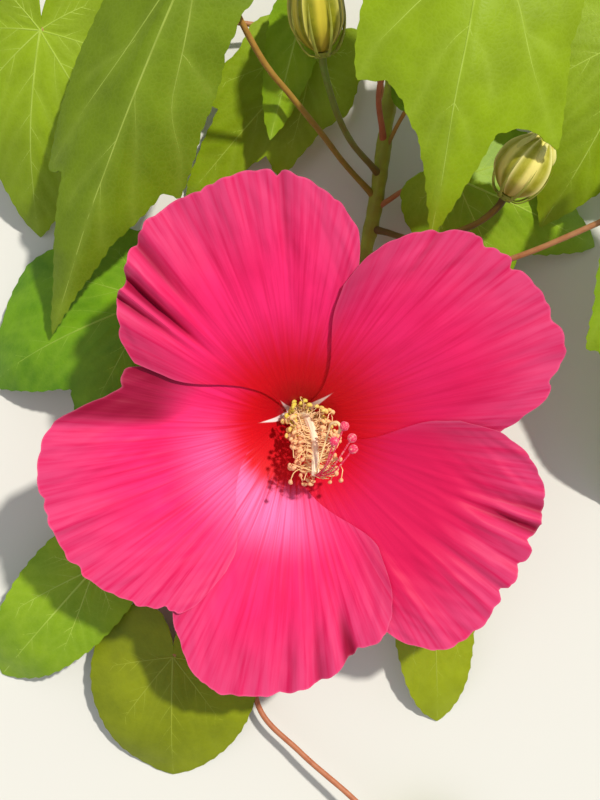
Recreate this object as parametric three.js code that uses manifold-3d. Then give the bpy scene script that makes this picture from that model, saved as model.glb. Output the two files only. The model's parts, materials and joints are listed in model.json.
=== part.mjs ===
// A cut flowering branch of hibiscus that lies on the floor, its one open bloom facing up.
// Millimetres. +X is across the branch to the right, +Y along it to its tip, and +Z is up.
// The drawing below is made about the bloom, and the last step moves it so that the middle
// of its underside is the origin.
import * as THREE from "three";
import { mergeVertices } from "three/addons/utils/BufferGeometryUtils.js";
import Module from "manifold-3d";

const wasm = await Module();
wasm.setup();

// Clear space between two pieces that touch on the real branch
const GAP = 0.35;

// The stem: from the cut end on the floor, under the bloom, to the rising tip
const STEM_ROUTE = [
  [-25, -85, 2.2], [-13, -64, 2.1], [3.5, -23.5, 2.2], [15, 20, 3.2],
  [22.3, 51.5, 6.2], [25.2, 66, 8.4], [29.5, 101, 15.5], [31.6, 121.6, 25],
];
const STEM_RADIUS_CUT = 2.15;
const STEM_RADIUS_TIP = 2.0;
// The bark swells at each node, over this share of the stem's length, but not at the cut end
const NODE_SWELL = 0.55;
const NODE_SPREAD = 0.018;
const CUT_END_SHARE = 0.05;
// A stalk is thicker at its foot and at its head, and each swelling fades along it at this rate
const FOOT_SWELL = 0.35;
const FOOT_FADE = 9;
const HEAD_SWELL = 0.25;
const HEAD_FADE = 14;

// The bloom: where its petals are set, which way it faces, and how they are laid
const BLOOM_SEAT = new THREE.Vector3(-2, -5, 22);
const BLOOM_AXIS = new THREE.Vector3(0.05, -0.2, 0.98).normalize();
const PETAL_THICK = 1.1;
const CLAW_START = 2.6;
const CLAW_ENDS = 8;
const BLADE_STARTS = 42;
const OVERLAP_LIFT = 0.9;
const OVERLAP_LIFT_PER_MM = 0.045;
const PETAL_CUP = 1.4;
// The lift and the cup are given for a place this many degrees from a petal's middle
const LIFT_ANGLE = 36;
// Between these two distances a petal's outer part takes on its cup and its waves. Each wave
// is its height, how many degrees of it there are in each degree round, and where it starts
const CUP_STARTS = 40;
const CUP_FULL = 80;
const PETAL_WAVES = [[1.3, 5, 40], [0.8, 8, 0]];
// Height of the open bloom over its seat, as pairs of distance from the axis and height
const BLOOM_PROFILE = [
  [0, 0], [3, 1], [6, 6.5], [10, 11], [15, 15.5], [25, 22], [40, 28.5], [60, 34], [82, 37],
];
// Half the angle that a petal takes up, as pairs of distance from the axis and degrees
const PETAL_SPREAD = [[2.6, 26], [8, 32], [14, 38], [20, 43], [30, 44], [44, 42], [90, 42]];
// Where across a petal its rim is given, from its clockwise edge to its other edge
const RIM_AT = [-1, -0.9, -0.75, -0.5, -0.25, 0, 0.25, 0.5, 0.75, 0.9, 1];
// Each petal: the angle of its claw, the angle of its blade, how much wider its hidden
// clockwise side is, and how far its rim reaches from the axis at RIM_AT
const PETALS = {
  petal_top: { claw: 90, blade: 112, under: 1.0, colour: 0xe8155f,
    rim: [50, 63, 69, 76, 78, 76.5, 76, 71, 63.5, 58, 52] },
  petal_right_upper: { claw: 13, blade: 32, under: 1.06, colour: 0xd81052,
    rim: [40, 46, 55, 72, 81, 81, 79, 75.5, 66, 57, 47] },
  petal_right_lower: { claw: -59, blade: -36, under: 1.06, colour: 0xe41660,
    rim: [46, 56, 64, 77, 79.5, 77.5, 77, 75.5, 68, 59, 48] },
  petal_bottom: { claw: -132, blade: -97, under: 1.08, colour: 0xee2a75,
    rim: [44, 50, 58, 72, 81.5, 79.5, 76, 68.5, 64, 55, 42] },
  petal_left: { claw: -202, blade: -160, under: 1.14, colour: 0xf0206c,
    rim: [46, 54, 54.5, 71.5, 76, 76, 75, 70.5, 64.5, 60, 46] },
};

// The calyx under the petals, and the narrow bracts under the calyx
const FLOWER_STALK_FROM = 0.5;
const FLOWER_STALK_RADIUS = 1.35;
const FLOWER_STALK_VIA = [[8.5, 12, 6.6], [2.4, 4.5, 8.2]];
const SEPALS = 5;
const SEPAL_TIP = 23;
const SEPAL_NOTCH = 11;
const CALYX_THICK = 1.2;
// How far the calyx hangs below the petals: in its middle, more at its sides, and more each mm
const CALYX_DROP_MIDDLE = 2.4;
const CALYX_DROP_SIDES = 1.7;
const CALYX_SIDES_FROM = 5;
const CALYX_DROP_PER_MM = 0.03;
const SEPAL_FULLNESS = 0.9;
const SEPALS_TURNED = 20;
const BRACTS = 8;
const BRACT_THICK = 1.0;
const BRACT_TIP_SPREAD = 0.35;
const FLOWER_BRACT_TIP = 14;
const FLOWER_BRACT_DISC = 3.2;
const FLOWER_BRACT_DROP = 1.25;
const FLOWER_BRACT_CURL = 0.045;
const FLOWER_BRACT_CLEAR = 1.8;
const FLOWER_NECK_DROP = 4.5;

// The column of stamens that stands out of the throat, and the styles at its end
const COLUMN_ROUTE = [
  [0, 0, -1.1], [0.2, 0.1, 3.6], [3.3, 1.9, 12], [5.2, -2.2, 21], [5.0, -10.6, 30.3],
];
const COLUMN_RADIUS_FOOT = 1.75;
const COLUMN_RADIUS_TIP = 1.15;
const COLUMN_TAPER_ENDS = 0.71;
const STAMENS = 38;
const STAMENS_START = 0.4;
const STAMENS_END = 0.98;
const GOLDEN_ANGLE = 137.5;
const FILAMENT_LEAN = 0.35;
const FILAMENT_VARIES = 0.25;
const FILAMENT_RADIUS = 0.34;
const FILAMENT_LENGTH = 6.1;
const ANTHER_RADIUS = 0.85;
const STYLE_HUB_RADIUS = 0.8;
const STYLE_BEND_AT = 0.45;
const STYLE_BEND = 3.2;
const STYLE_RADIUS = 0.4;
const STIGMA_RADIUS = 1.25;
// Where the five stigmas stand
const STIGMAS = [
  [10.6, -7.8, 58], [12.6, -7.4, 62], [14.8, -10.8, 61], [15.2, -14, 60], [9.6, -11.6, 64],
];

// Outline of a leaf on one side of its midrib: pairs of the angle from the midrib, seen from
// where the leaf stalk joins, and the distance there as a share of the leaf's length
const LOBED = [
  [0, 1], [9, 0.8], [19, 0.63], [25, 0.57], [31, 0.64], [37, 0.7], [45, 0.58], [58, 0.47],
  [70, 0.46], [78, 0.47], [95, 0.38], [120, 0.34], [145, 0.3], [165, 0.2], [180, 0.05],
];
const BROAD = [
  [0, 1], [9, 0.87], [19, 0.79], [30, 0.75], [40, 0.71], [49, 0.62], [58, 0.53], [70, 0.48],
  [78, 0.46], [95, 0.38], [120, 0.34], [145, 0.3], [165, 0.2], [180, 0.05],
];
const SLENDER = [
  [0, 1], [9, 0.8], [19, 0.62], [25, 0.5], [31, 0.49], [37, 0.52], [45, 0.41], [58, 0.32],
  [75, 0.26], [95, 0.23], [120, 0.21], [145, 0.19], [165, 0.15], [180, 0.05],
];
const NARROW_LEFT = [
  [0, 1], [2.7, 0.88], [6.7, 0.735], [11.2, 0.612], [15.2, 0.648], [20.7, 0.536], [26.2, 0.452],
  [31.4, 0.395], [36, 0.34], [44, 0.27], [60, 0.21], [90, 0.18], [125, 0.16], [155, 0.12],
  [180, 0.04],
];
const NARROW_RIGHT = [
  [0, 1], [2, 0.86], [5.6, 0.715], [10.2, 0.635], [14.6, 0.562], [18.8, 0.575], [21.4, 0.505],
  [24.4, 0.413], [29.9, 0.335], [37.6, 0.245], [54, 0.185], [90, 0.16], [125, 0.15], [155, 0.12],
  [180, 0.04],
];
const WIDE_LEFT = [
  [0, 1], [1.6, 0.9], [5, 0.771], [10.1, 0.66], [16.1, 0.609], [20.2, 0.569], [28.5, 0.543],
  [36.6, 0.612], [44, 0.554], [50.8, 0.5], [58.7, 0.45], [72, 0.42], [90, 0.39], [112, 0.35],
  [137, 0.3], [160, 0.2], [180, 0.05],
];
const WIDE_RIGHT = [
  [0, 1], [2.4, 0.908], [6, 0.785], [10.5, 0.68], [13.8, 0.612], [22.4, 0.606], [27.8, 0.64],
  [33, 0.735], [37.8, 0.634], [44, 0.542], [53.5, 0.445], [66, 0.415], [90, 0.36], [115, 0.33],
  [140, 0.29], [162, 0.19], [180, 0.05],
];
const ROUND = [
  [0, 1], [14, 0.93], [30, 0.84], [48, 0.74], [68, 0.66], [90, 0.58], [115, 0.52], [140, 0.46],
  [162, 0.34], [180, 0.08],
];
const NARROW = [
  [0, 1], [6, 0.82], [13, 0.62], [22, 0.45], [36, 0.32], [60, 0.2], [95, 0.13], [140, 0.09],
  [180, 0.04],
];

// Each leaf: the place where its stalk joins it, the place of its tip, its two outlines, how
// far it bows up between them as a share of its length, the angle that each half is folded
// down, its roll in degrees, its thickness, and its stalk: how far along the stem it leaves,
// the points that it passes, and its radius
const LEAVES = {
  upper_left: { base: [-28, 128.6, 66], tip: [-79.2, 20.8, 22], left: NARROW_RIGHT,
    right: NARROW_LEFT, bow: 0.06, fold: 24, roll: 4, thick: 1.35, colour: 0x5f9d2f,
    from: 0.735, via: [[14.7, 76.7, 15], [6.4, 84.9, 25], [-3.1, 94.1, 34.5], [-11, 102, 42]],
    radius: 0.95 },
  upper_right: { base: [51.2, 123.9, 74], tip: [38.2, 47.1, 50], left: WIDE_RIGHT,
    right: WIDE_LEFT, bow: 0.09, fold: 12, roll: -4, thick: 1.1, colour: 0x8cc63a,
    from: 0.815, via: [[25, 97, 25], [30, 112, 44], [41, 124, 62]], radius: 0.95 },
  far_left: { base: [-79.3, 112.8, 38], tip: [-88, 55, 0.2], left: LOBED, right: LOBED,
    bow: 0.12, fold: 8, roll: 6, thick: 1.1, colour: 0x7fb93a,
    from: 0.87, via: [[24, 110.5, 9], [2, 122, 5], [-42, 124, 17]], radius: 0.9 },
  behind_bud: { base: [4, 112, 18], tip: [-38.9, 67.7, 0.2], left: LOBED, right: LOBED,
    bow: 0.06, fold: 4, roll: -2, thick: 1.1, colour: 0x9ccb52, width: 0.72,
    from: 0.93, via: [[20, 113.5, 15]], radius: 0.8 },
  left: { base: [-48, 32, 20], tip: [-105.6, 5.1, 0.2], left: LOBED, right: BROAD,
    bow: 0.14, fold: 10, roll: 8, thick: 1.1, colour: 0x64a02c,
    from: 0.56, via: [[0, 31, 8], [-26, 34, 14]], radius: 0.85 },
  far_right: { base: [105.5, 112.2, 40], tip: [78, 56, 16], left: LOBED, right: LOBED,
    bow: 0.1, fold: 10, roll: -8, thick: 1.1, colour: 0x86bf3c,
    from: 0.96, via: [[56, 122, 31], [86, 117, 33]], radius: 0.9 },
  right: { base: [107, 61, 52], tip: [107, -38, 0.2], left: LOBED, right: SLENDER,
    bow: 0.12, fold: 12, roll: 0, thick: 1.25, colour: 0x72ad33, width: 0.58,
    from: 0.64, via: [[38, 40, 17], [62.9, 43, 33], [88, 52.5, 43]], radius: 0.9 },
  lower_left: { base: [-41.5, -84, 14], tip: [-43, -127, 0.2], left: ROUND, right: ROUND,
    bow: 0.1, fold: 5, roll: 0, thick: 1.1, colour: 0x6fae33,
    from: 0.12, via: [[-30, -72, 8]], radius: 0.8 },
  low_left: { base: [-66, -54, 20], tip: [-101, -93, 0.2], left: ROUND, right: ROUND,
    bow: 0.12, fold: 6, roll: 0, thick: 1.1, colour: 0x69a532, width: 0.5,
    from: 0.25, via: [[-28, -46, 11]], radius: 0.8 },
  lower_right: { base: [43, -60, 14], tip: [46.5, -109, 0.2], left: ROUND, right: ROUND,
    bow: 0.1, fold: 6, roll: 0, thick: 1.1, colour: 0x9ad13e, width: 0.42,
    from: 0.22, via: [[18, -52, 7]], radius: 0.8 },
  foot: { base: [36, -150, 13], tip: [64, -176, 0.2], left: LOBED, right: LOBED,
    bow: 0.12, fold: 8, roll: 0, thick: 1.0, colour: 0x79b338,
    from: 0.11, via: [[-14, -101.9, 6], [0, -116.9, 8], [18, -131.8, 11]], radius: 0.95 },
  shoot: { base: [35, 94, 21], tip: [33.5, 112, 31], left: NARROW, right: NARROW,
    bow: 0.06, fold: 34, roll: 10, thick: 0.8, colour: 0x3f6d22, width: 1.5,
    from: 0.8, via: [[31.5, 89, 16]], radius: 0.6 },
  young: { base: [2, 127, 31.5], tip: [-9.5, 82, 26], left: NARROW, right: NARROW,
    bow: 0.04, fold: 26, roll: -8, thick: 0.9, colour: 0x7aa833, width: 1.1,
    from: 0.985, via: [[20, 131, 26], [6, 133.5, 27]], radius: 0.7 },
  stem_side: { base: [50, 71, 21], tip: [100, 52, 0.2], left: LOBED, right: LOBED,
    bow: 0.1, fold: 10, roll: 6, thick: 1.1, colour: 0x4f8a2a,
    from: 0.72, via: [[35, 69, 14]], radius: 0.8 },
};

// Each bud: the middle of its underside, its tip, its greatest radius, and its stalk
const BUDS = {
  bud_top: { base: [6.6, 105.2, 42], tip: [3.5, 127.5, 53], radius: 7.9,
    from: 0.77, via: [[16, 81.5, 27], [11.3, 88.8, 34]], stalk: 1.0 },
  bud_right: { base: [63.1, 63.0, 38], tip: [72.8, 78.2, 47], radius: 7.9,
    from: 0.69, via: [[38, 52, 17], [54, 54.5, 30]], stalk: 1.0 },
};
const BUD_RIDGES = 5;
const BUD_RIDGE_DEPTH = 0.07;
const BUD_POINT = 1;
// Radius of a bud along its length, as shares of its greatest radius
const BUD_PROFILE = [
  [0, 0.3], [0.1, 0.72], [0.3, 0.98], [0.5, 1], [0.7, 0.84], [0.86, 0.52], [1, 0.16],
];
// A bud's bracts: their tip and disc, how far under the bud they sit, and how they turn up
const BUD_BRACT_TIP = 16;
const BUD_BRACT_DISC = 2.6;
const BUD_BRACT_DROP = 0.75;
const BUD_BRACT_TURNS_AT = 3.2;
const BUD_BRACT_OUT = 0.62;
const BUD_BRACT_RISE = 0.45;
const BUD_NECK_DROP = 4;

// A leaf's halves curve down by this share of the square of the distance from the midrib
const LEAF_CURL = 0.22;
// A leaf's stalk ends under its blade, clear of it by its own swollen radius
const STALK_HEAD_ROOM = 1.45;

// How finely the pieces are drawn
const STEM_SIDES = 10;
const STEM_STEPS = 44;
const STALK_SIDES = 6;
const STALK_STEP_LENGTH = 7;
const STALK_STEPS_LEAST = 5;
const STALK_STEPS_MOST = 16;
const PETAL_ROWS = 10;
const PETAL_COLUMNS = 18;
const PETAL_ROW_SPACING = 1.25;
const LEAF_RINGS = [0.36, 0.7, 1];
const SEPAL_SPOKES = 6;
const SEPAL_RINGS = [0.13, 0.3, 0.6, 1];
const BRACT_RINGS = [0.2, 0.5, 1];
const COLUMN_SIDES = 8;
const COLUMN_STEPS = 10;
const FILAMENT_SIDES = 3;
const STYLE_SIDES = 4;
const STYLE_STEPS = 5;
const BUD_SIDES_PER_RIDGE = 4;
// Corners closer than this are one corner
const WELD = 1e-4;

const spray = new THREE.Group();

function vector([x, y, z]) {
  return new THREE.Vector3(x, y, z);
}

// The value at x on a line through pairs of x and value
function along(pairs, x) {
  if (x <= pairs[0][0]) return pairs[0][1];
  for (let i = 1; i < pairs.length; i++) {
    const [x0, y0] = pairs[i - 1];
    const [x1, y1] = pairs[i];
    if (x <= x1) return y0 + ((y1 - y0) * (x - x0)) / (x1 - x0);
  }
  return pairs[pairs.length - 1][1];
}

function degrees(angle) {
  return (angle * Math.PI) / 180;
}

function add(name, geometry, colour, roughness = 0.6) {
  const material = new THREE.MeshStandardMaterial({ color: colour, roughness, metalness: 0 });
  const mesh = new THREE.Mesh(geometry, material);
  mesh.name = name;
  spray.add(mesh);
}

function geometryOf(points, triangles) {
  const geometry = new THREE.BufferGeometry().setFromPoints(points);
  geometry.setIndex(triangles);
  return geometry;
}

// A limb of round section: its route is a curve, and radiusAt gives its radius along it
function limb(curve, radiusAt, sides, steps) {
  const frames = curve.computeFrenetFrames(steps, false);
  const points = [];
  const triangles = [];
  for (let i = 0; i <= steps; i++) {
    const centre = curve.getPointAt(i / steps);
    for (let k = 0; k < sides; k++) {
      const turn = (2 * Math.PI * k) / sides;
      const radius = radiusAt(i / steps);
      points.push(
        centre
          .clone()
          .addScaledVector(frames.normals[i], radius * Math.cos(turn))
          .addScaledVector(frames.binormals[i], radius * Math.sin(turn)),
      );
    }
  }
  for (let i = 0; i < steps; i++) {
    for (let k = 0; k < sides; k++) {
      const a = i * sides + k;
      const b = i * sides + ((k + 1) % sides);
      triangles.push(a, b, a + sides, b, b + sides, a + sides);
    }
  }
  const last = steps * sides;
  for (let k = 1; k < sides - 1; k++) {
    triangles.push(0, k + 1, k, last, last + k, last + k + 1);
  }
  return geometryOf(points, triangles);
}

// A closed sheet of even thickness made from its middle surface
function sheet(points, triangles, thick) {
  const middle = geometryOf(points, triangles);
  middle.computeVertexNormals();
  const normals = middle.getAttribute("normal");
  const both = [];
  for (const side of [0.5, -0.5]) {
    points.forEach((point, i) => {
      const normal = new THREE.Vector3().fromBufferAttribute(normals, i);
      both.push(point.clone().addScaledVector(normal, side * thick));
    });
  }
  const n = points.length;
  const faces = [];
  const edges = new Map();
  for (let i = 0; i < triangles.length; i += 3) {
    const [a, b, c] = triangles.slice(i, i + 3);
    faces.push(a, b, c, a + n, c + n, b + n);
    for (const [p, q] of [[a, b], [b, c], [c, a]]) {
      if (edges.has(q + "_" + p)) edges.delete(q + "_" + p);
      else edges.set(p + "_" + q, [p, q]);
    }
  }
  for (const [p, q] of edges.values()) {
    faces.push(q, p, p + n, q, p + n, q + n);
  }
  return geometryOf(both, faces);
}

// A blade that spreads from one point: at(spoke, share) gives a place on its middle surface
function fan(centre, at, spokes, rings, thick) {
  const points = [centre];
  const triangles = [];
  for (const share of rings) {
    for (let k = 0; k < spokes; k++) points.push(at(k, share));
  }
  for (let k = 0; k < spokes; k++) {
    const next = (k + 1) % spokes;
    triangles.push(0, 1 + k, 1 + next);
    for (let i = 0; i < rings.length - 1; i++) {
      const a = 1 + i * spokes + k;
      const b = 1 + i * spokes + next;
      triangles.push(a, a + spokes, b + spokes, a, b + spokes, b);
    }
  }
  return sheet(points, triangles, thick);
}

function solidOf(geometry) {
  const clean = geometry.clone();
  clean.deleteAttribute("normal");
  clean.deleteAttribute("uv");
  const merged = mergeVertices(clean, WELD);
  return new wasm.Manifold(
    new wasm.Mesh({
      numProp: 3,
      vertProperties: merged.attributes.position.array,
      triVerts: new Uint32Array(merged.index.array),
    }),
  );
}

function joined(geometries) {
  const whole = geometries.map(solidOf).reduce((sum, one) => sum.add(one));
  const mesh = whole.getMesh();
  const geometry = new THREE.BufferGeometry();
  geometry.setAttribute("position", new THREE.BufferAttribute(mesh.vertProperties, 3));
  geometry.setIndex(new THREE.BufferAttribute(mesh.triVerts, 1));
  return geometry;
}

// The stem, with a slight swelling at each node where a stalk leaves it
const stemCurve = new THREE.CatmullRomCurve3(STEM_ROUTE.map(vector), false, "centripetal");
const stemNodes = [...Object.values(LEAVES), ...Object.values(BUDS)].map((piece) => piece.from);

function stemRadius(share) {
  const taper = STEM_RADIUS_CUT + (STEM_RADIUS_TIP - STEM_RADIUS_CUT) * share;
  if (share <= CUT_END_SHARE) return taper;
  const nearest = Math.min(...stemNodes.map((node) => Math.abs(node - share)));
  return taper + NODE_SWELL * Math.exp(-((nearest / NODE_SPREAD) ** 2));
}

add("stem", limb(stemCurve, stemRadius, STEM_SIDES, STEM_STEPS), 0x5d8a3a);

// A stalk that leaves the stem at a share of its length, clear of its bark, and runs through
// the points given to its end
function stalk(name, share, route, radius, colour) {
  const node = stemCurve.getPointAt(share);
  const stemway = stemCurve.getTangentAt(share);
  const way = vector(route[0]).sub(node).normalize();
  const lean = Math.abs(way.dot(stemway));
  const footRadius = radius * 1.5;
  const reach = (stemRadius(share) + GAP + footRadius * lean) / Math.sqrt(1 - lean * lean);
  const start = node.clone().addScaledVector(way, reach);
  const curve = new THREE.CatmullRomCurve3([start, ...route.map(vector)], false, "centripetal");
  const wanted = Math.round(curve.getLength() / STALK_STEP_LENGTH);
  const steps = Math.min(STALK_STEPS_MOST, Math.max(STALK_STEPS_LEAST, wanted));
  const foot = (s) => FOOT_SWELL * Math.exp(-s * FOOT_FADE);
  const head = (s) => HEAD_SWELL * Math.exp((s - 1) * HEAD_FADE);
  add(name, limb(curve, (s) => radius * (1 + foot(s) + head(s)), STALK_SIDES, steps), colour);
}

// The frame of a leaf: along its midrib, across it to the left, and up from its face
function leafFrame(leaf) {
  const ahead = vector(leaf.tip).sub(vector(leaf.base));
  const length = ahead.length();
  ahead.normalize();
  const side = new THREE.Vector3(0, 0, 1).cross(ahead).normalize();
  side.applyAxisAngle(ahead, degrees(leaf.roll));
  const up = ahead.clone().cross(side);
  return { ahead, side, up, length };
}

// A place on a leaf's middle surface. Positive angles are left of the midrib.
function leafPlace(leaf, frame, angle, reach) {
  const { ahead, side, up, length } = frame;
  const run = reach * Math.cos(degrees(angle));
  const across = reach * Math.sin(degrees(angle)) * (leaf.width ?? 1);
  const bow = run > 0 ? 4 * leaf.bow * run * (1 - run) : 2 * leaf.bow * run;
  const down = Math.abs(across) * Math.sin(degrees(leaf.fold)) + LEAF_CURL * across * across;
  return vector(leaf.base)
    .addScaledVector(ahead, length * run)
    .addScaledVector(side, length * across * Math.cos(degrees(leaf.fold)))
    .addScaledVector(up, length * (bow - down));
}

function leafBlade(leaf, frame) {
  const right = leaf.right.slice(1, -1).map(([angle, reach]) => [-angle, reach]).reverse();
  const rim = [...leaf.left, ...right];
  const at = (k, share) => leafPlace(leaf, frame, rim[k][0], rim[k][1] * share);
  return fan(vector(leaf.base), at, rim.length, LEAF_RINGS, leaf.thick);
}

for (const [name, leaf] of Object.entries(LEAVES)) {
  const frame = leafFrame(leaf);
  add("leaf_" + name, leafBlade(leaf, frame), leaf.colour);
  const foldRoom = leaf.radius * 2 * Math.sin(degrees(leaf.fold));
  const under = leaf.thick / 2 + GAP + leaf.radius * STALK_HEAD_ROOM + foldRoom;
  const end = vector(leaf.base).addScaledVector(frame.up, -under);
  stalk("stalk_" + name, leaf.from, [...leaf.via, end.toArray()], leaf.radius, 0x9a5a3c);
}

// The bloom's own frame: z is its axis, and angles are counted from the picture's right
const bloomX = new THREE.Vector3(1, 0, 0);
bloomX.addScaledVector(BLOOM_AXIS, -bloomX.dot(BLOOM_AXIS)).normalize();
const bloomY = BLOOM_AXIS.clone().cross(bloomX);

function bloomPlace(distance, angle, height) {
  return BLOOM_SEAT.clone()
    .addScaledVector(bloomX, distance * Math.cos(degrees(angle)))
    .addScaledVector(bloomY, distance * Math.sin(degrees(angle)))
    .addScaledVector(BLOOM_AXIS, height);
}

// Each petal slopes up towards its counterclockwise edge, which so lies over the next petal
function petalPlace(petal, share, across) {
  const reach = along(RIM_AT.map((at, i) => [at, petal.rim[i]]), across);
  const distance = CLAW_START + (reach - CLAW_START) * share;
  const blend = THREE.MathUtils.smoothstep(distance, CLAW_ENDS, BLADE_STARTS);
  const middle = petal.claw + (petal.blade - petal.claw) * blend;
  const wider = across < 0 ? 1 + (petal.under - 1) * blend : 1;
  const offset = across * along(PETAL_SPREAD, distance) * wider;
  const angle = middle + offset;
  const lift = (OVERLAP_LIFT + OVERLAP_LIFT_PER_MM * distance) * (offset / LIFT_ANGLE);
  const rimness = THREE.MathUtils.smoothstep(distance, CUP_STARTS, CUP_FULL);
  const cup = PETAL_CUP * (offset / LIFT_ANGLE) ** 2;
  const waves = PETAL_WAVES.map(([high, per, from]) => high * Math.sin(degrees(per * angle + from)));
  const wave = waves[0] + waves[1] - cup;
  return bloomPlace(distance, angle, along(BLOOM_PROFILE, distance) + lift + rimness * wave);
}

for (const [name, petal] of Object.entries(PETALS)) {
  const points = [];
  const triangles = [];
  for (let i = 0; i <= PETAL_ROWS; i++) {
    const share = (i / PETAL_ROWS) ** PETAL_ROW_SPACING;
    for (let k = 0; k <= PETAL_COLUMNS; k++) {
      points.push(petalPlace(petal, share, (2 * k) / PETAL_COLUMNS - 1));
    }
  }
  const row = PETAL_COLUMNS + 1;
  for (let i = 0; i < PETAL_ROWS; i++) {
    for (let k = 0; k < PETAL_COLUMNS; k++) {
      const a = i * row + k;
      triangles.push(a, a + row, a + row + 1, a, a + row + 1, a + 1);
    }
  }
  add(name, sheet(points, triangles, PETAL_THICK), petal.colour, 0.5);
}

// Calyx: a cup that follows the petals from below and ends in five pointed sepals
function calyxHeight(distance) {
  const sides = THREE.MathUtils.smoothstep(distance, 0, CALYX_SIDES_FROM);
  const drop = CALYX_DROP_MIDDLE + CALYX_DROP_SIDES * sides + CALYX_DROP_PER_MM * distance;
  return along(BLOOM_PROFILE, distance) - drop;
}

// How far a ring of pointed lobes reaches at a spoke, when each lobe has so many spokes
function lobeReach(spoke, perLobe, notch, tip, fullness) {
  const toTip = 1 - Math.abs((2 * (spoke % perLobe)) / perLobe - 1);
  return notch + (tip - notch) * toTip ** fullness;
}

const calyxSpokes = SEPALS * SEPAL_SPOKES;
const calyxMiddle = bloomPlace(0, 0, calyxHeight(0));
function calyxPlace(spoke, share) {
  const reach = lobeReach(spoke, SEPAL_SPOKES, SEPAL_NOTCH, SEPAL_TIP, SEPAL_FULLNESS);
  const distance = reach * share;
  return bloomPlace(distance, (360 * spoke) / calyxSpokes + SEPALS_TURNED, calyxHeight(distance));
}
const calyx = fan(calyxMiddle, calyxPlace, calyxSpokes, SEPAL_RINGS, CALYX_THICK);
add("flower_calyx", calyx, 0x8fb04a);

// The outline of one bract from notch to notch: pairs of the share of its turn round the axis
// and the share of the way from the disc to the bract's tip
const BRACT_OUTLINE = [[0, 0], [0.36, 0.7], [0.5, 1], [0.64, 0.7]];

// A ring of narrow bracts on a small disc: place(distance, angle) puts them round their axis
function bractRing(place, tip, disc) {
  const perBract = BRACT_OUTLINE.length;
  const at = (spoke, share) => {
    const [turned, reached] = BRACT_OUTLINE[spoke % perBract];
    const distance = (disc + (tip - disc) * reached) * share;
    const narrowed = Math.min(1, disc / distance);
    const spread = narrowed + BRACT_TIP_SPREAD * (1 - narrowed);
    const turn = Math.floor(spoke / perBract) + 0.5 + (turned - 0.5) * spread;
    return place(distance, (360 * turn) / BRACTS);
  };
  return fan(place(0, 0), at, BRACTS * perBract, BRACT_RINGS, BRACT_THICK);
}

const underCalyx = CALYX_THICK / 2 + GAP + BRACT_THICK / 2 + FLOWER_BRACT_DROP;
const flowerBractsAt = calyxHeight(0) - underCalyx;
function flowerBractPlace(distance, angle) {
  const rise = flowerBractsAt + FLOWER_BRACT_CURL * distance * distance;
  return bloomPlace(distance, angle, Math.min(rise, calyxHeight(distance) - FLOWER_BRACT_CLEAR));
}
const flowerBracts = bractRing(flowerBractPlace, FLOWER_BRACT_TIP, FLOWER_BRACT_DISC);
add("flower_bracts", flowerBracts, 0x7da13f);

// The flower stalk turns up from the stem to meet the bloom square from below
const stalkTop = bloomPlace(0, 0, flowerBractsAt - BRACT_THICK / 2 - GAP);
const stalkNeck = bloomPlace(0, 0, flowerBractsAt - FLOWER_NECK_DROP);
const flowerRoute = [...FLOWER_STALK_VIA, stalkNeck.toArray(), stalkTop.toArray()];
stalk("flower_stalk", FLOWER_STALK_FROM, flowerRoute, FLOWER_STALK_RADIUS, 0x6c9440);

// The column, with its stamens set in a spiral: each is a thin filament that ends in an anther
const columnCurve = new THREE.CatmullRomCurve3(
  COLUMN_ROUTE.map(([x, y, z]) => {
    return BLOOM_SEAT.clone().add(vector([x, y, 0])).addScaledVector(BLOOM_AXIS, z);
  }),
);
function columnRadius(share) {
  const tapered = Math.min(1, share / COLUMN_TAPER_ENDS);
  return COLUMN_RADIUS_FOOT + (COLUMN_RADIUS_TIP - COLUMN_RADIUS_FOOT) * tapered;
}

const columnPieces = [limb(columnCurve, columnRadius, COLUMN_SIDES, COLUMN_STEPS)];
const frameCount = 100;
const columnFrames = columnCurve.computeFrenetFrames(frameCount, false);
for (let i = 0; i < STAMENS; i++) {
  const share = STAMENS_START + ((STAMENS_END - STAMENS_START) * (i + 0.5)) / STAMENS;
  const turn = degrees(GOLDEN_ANGLE * i);
  const root = columnCurve.getPointAt(share);
  const frameAt = Math.round(share * frameCount);
  const out = columnFrames.normals[frameAt].clone().multiplyScalar(Math.cos(turn));
  out.addScaledVector(columnFrames.binormals[frameAt], Math.sin(turn));
  const length = FILAMENT_LENGTH * (1 + FILAMENT_VARIES * Math.sin(5 * i));
  const lean = columnFrames.tangents[frameAt].clone().multiplyScalar(FILAMENT_LEAN);
  const end = root.clone().addScaledVector(out.add(lean).normalize(), length);
  const filament = new THREE.LineCurve3(root, end);
  columnPieces.push(limb(filament, () => FILAMENT_RADIUS, FILAMENT_SIDES, 1));
  const anther = new THREE.OctahedronGeometry(ANTHER_RADIUS, 0);
  anther.rotateZ(turn).translate(end.x, end.y, end.z);
  columnPieces.push(anther);
}
add("stamen_column", joined(columnPieces), 0xf2c98a);

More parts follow.
